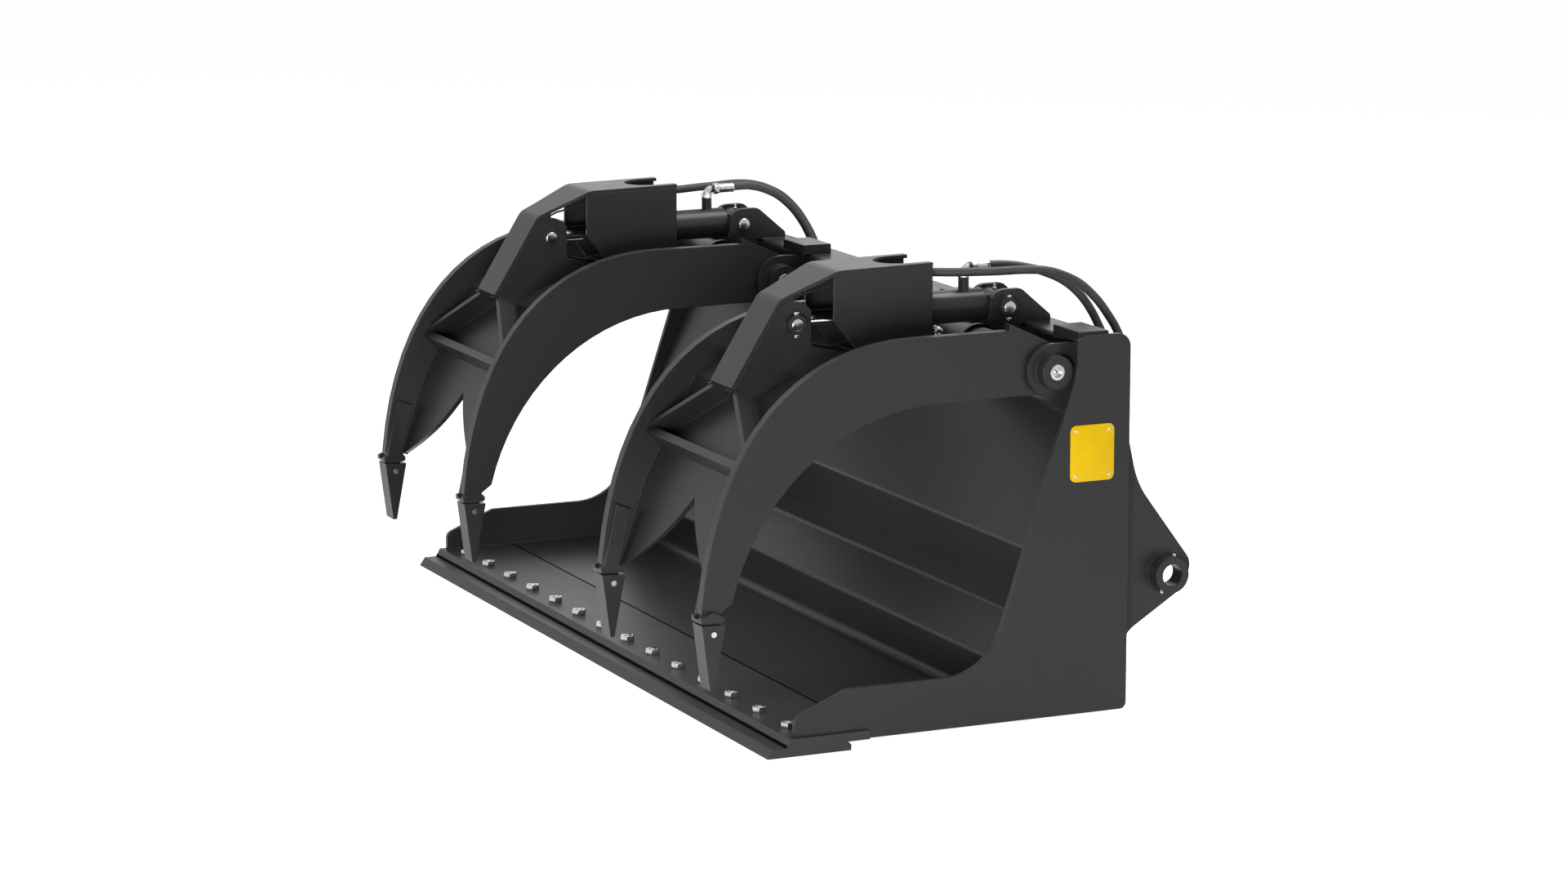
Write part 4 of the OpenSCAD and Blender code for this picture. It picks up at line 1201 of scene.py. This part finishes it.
def floor_finish(name, colour):
    """A pale matt floor that looks white and still takes shadows."""
    material, nodes, links, shader = material_of(name)
    grain = noise(nodes, links, place_of(nodes), 3, 3, 0.5)
    tone = blended(nodes, links, grain, shade(colour, 0.985), shade(colour, 1.01))
    links.new(tone, shader.inputs["Base Color"])
    shader.inputs["Roughness"].default_value = 0.9
    shader.inputs["Specular IOR Level"].default_value = 0.1
    glow = nodes.new("ShaderNodeEmission")
    glow.inputs["Color"].default_value = (1, 1, 1, 1)
    links.new(ramp(nodes, links, seen_directly(nodes, links), 0, 1, 0, FLOOR_GLOW),
              glow.inputs["Strength"])
    both = nodes.new("ShaderNodeAddShader")
    links.new(shader.outputs[0], both.inputs[0])
    links.new(glow.outputs[0], both.inputs[1])
    links.new(both.outputs[0], nodes["Material Output"].inputs["Surface"])
    return material


def white_world(scene):
    """A world that looks white and lights little."""
    world = bpy.data.worlds.new("studio")
    world.use_nodes = True
    nodes, links = world.node_tree.nodes, world.node_tree.links
    light = nodes["Background"]
    light.inputs["Color"].default_value = (1, 1, 1, 1)
    links.new(ramp(nodes, links, seen_directly(nodes, links), 0, 1, WORLD_LIGHT, 1),
              light.inputs["Strength"])
    scene.world = world


class GRAPPLE_OT_stage(bpy.types.Operator):
    """Camera, pale floor and soft studio light"""
    bl_idname = "grapple.stage"
    bl_label = "Stage"

    def execute(self, context):
        stage = context.scene.grapple_stage
        deselect()
        photo_camera(context.scene, stage)
        bpy.ops.mesh.primitive_plane_add(size=60, location=(0, 0, -0.0005))
        floor = context.object
        floor.name = "floor"
        floor.data.materials.append(floor_finish("pale_floor", stage.floor))
        white_world(context.scene)
        for name, place, size, power in LAMPS:
            turn = facing(Vector(place), LAMP_TARGET)
            bpy.ops.object.light_add(type="AREA", location=place, rotation=turn)
            lamp = context.object
            lamp.name = name
            lamp.data.size = size
            lamp.data.energy = power
        context.scene.view_settings.view_transform = "Standard"
        return {"FINISHED"}


class GRAPPLE_PT_panel(bpy.types.Panel):
    """The pieces of the grapple bucket"""
    bl_label = "Grapple Bucket"
    bl_idname = "GRAPPLE_PT_panel"
    bl_space_type = "VIEW_3D"
    bl_region_type = "UI"
    bl_category = "Grapple Bucket"

    def draw(self, context):
        for key in SETTINGS:
            group = getattr(context.scene, key)
            for name in group.__annotations__:
                self.layout.prop(group, name)
        for operator in OPERATORS:
            self.layout.operator(operator.bl_idname)


SETTINGS = {
    "grapple_paint": PaintSettings,
    "grapple_fasteners": FastenerSettings,
    "grapple_hoses": HoseSettings,
    "grapple_welds": WeldSettings,
    "grapple_stage": StageSettings,
}
OPERATORS = (
    GRAPPLE_OT_finishes,
    GRAPPLE_OT_stage,
    GRAPPLE_OT_hoses,
    GRAPPLE_OT_elbows,
    GRAPPLE_OT_edge_fasteners,
    GRAPPLE_OT_cylinder_pins,
    GRAPPLE_OT_pivot_pins,
    GRAPPLE_OT_small_fasteners,
    GRAPPLE_OT_seams,
    GRAPPLE_OT_web_heads,
    GRAPPLE_OT_side_sign,
    GRAPPLE_OT_welds,
)


def register():
    for item in (*SETTINGS.values(), *OPERATORS, GRAPPLE_PT_panel):
        bpy.utils.register_class(item)
    for key, group in SETTINGS.items():
        setattr(bpy.types.Scene, key, bpy.props.PointerProperty(type=group))


def unregister():
    for key in SETTINGS:
        delattr(bpy.types.Scene, key)
    for item in reversed((*SETTINGS.values(), *OPERATORS, GRAPPLE_PT_panel)):
        bpy.utils.unregister_class(item)


def main():
    register()
    bpy.ops.grapple.finishes()
    bpy.ops.grapple.stage()
    bpy.ops.grapple.hoses()
    bpy.ops.grapple.elbows()
    bpy.ops.grapple.edge_fasteners()
    bpy.ops.grapple.cylinder_pins()
    bpy.ops.grapple.pivot_pins()
    bpy.ops.grapple.small_fasteners()
    bpy.ops.grapple.seams()
    bpy.ops.grapple.web_heads()
    bpy.ops.grapple.side_sign()
    bpy.ops.grapple.welds()
    deselect()


if __name__ == "__main__":
    main()
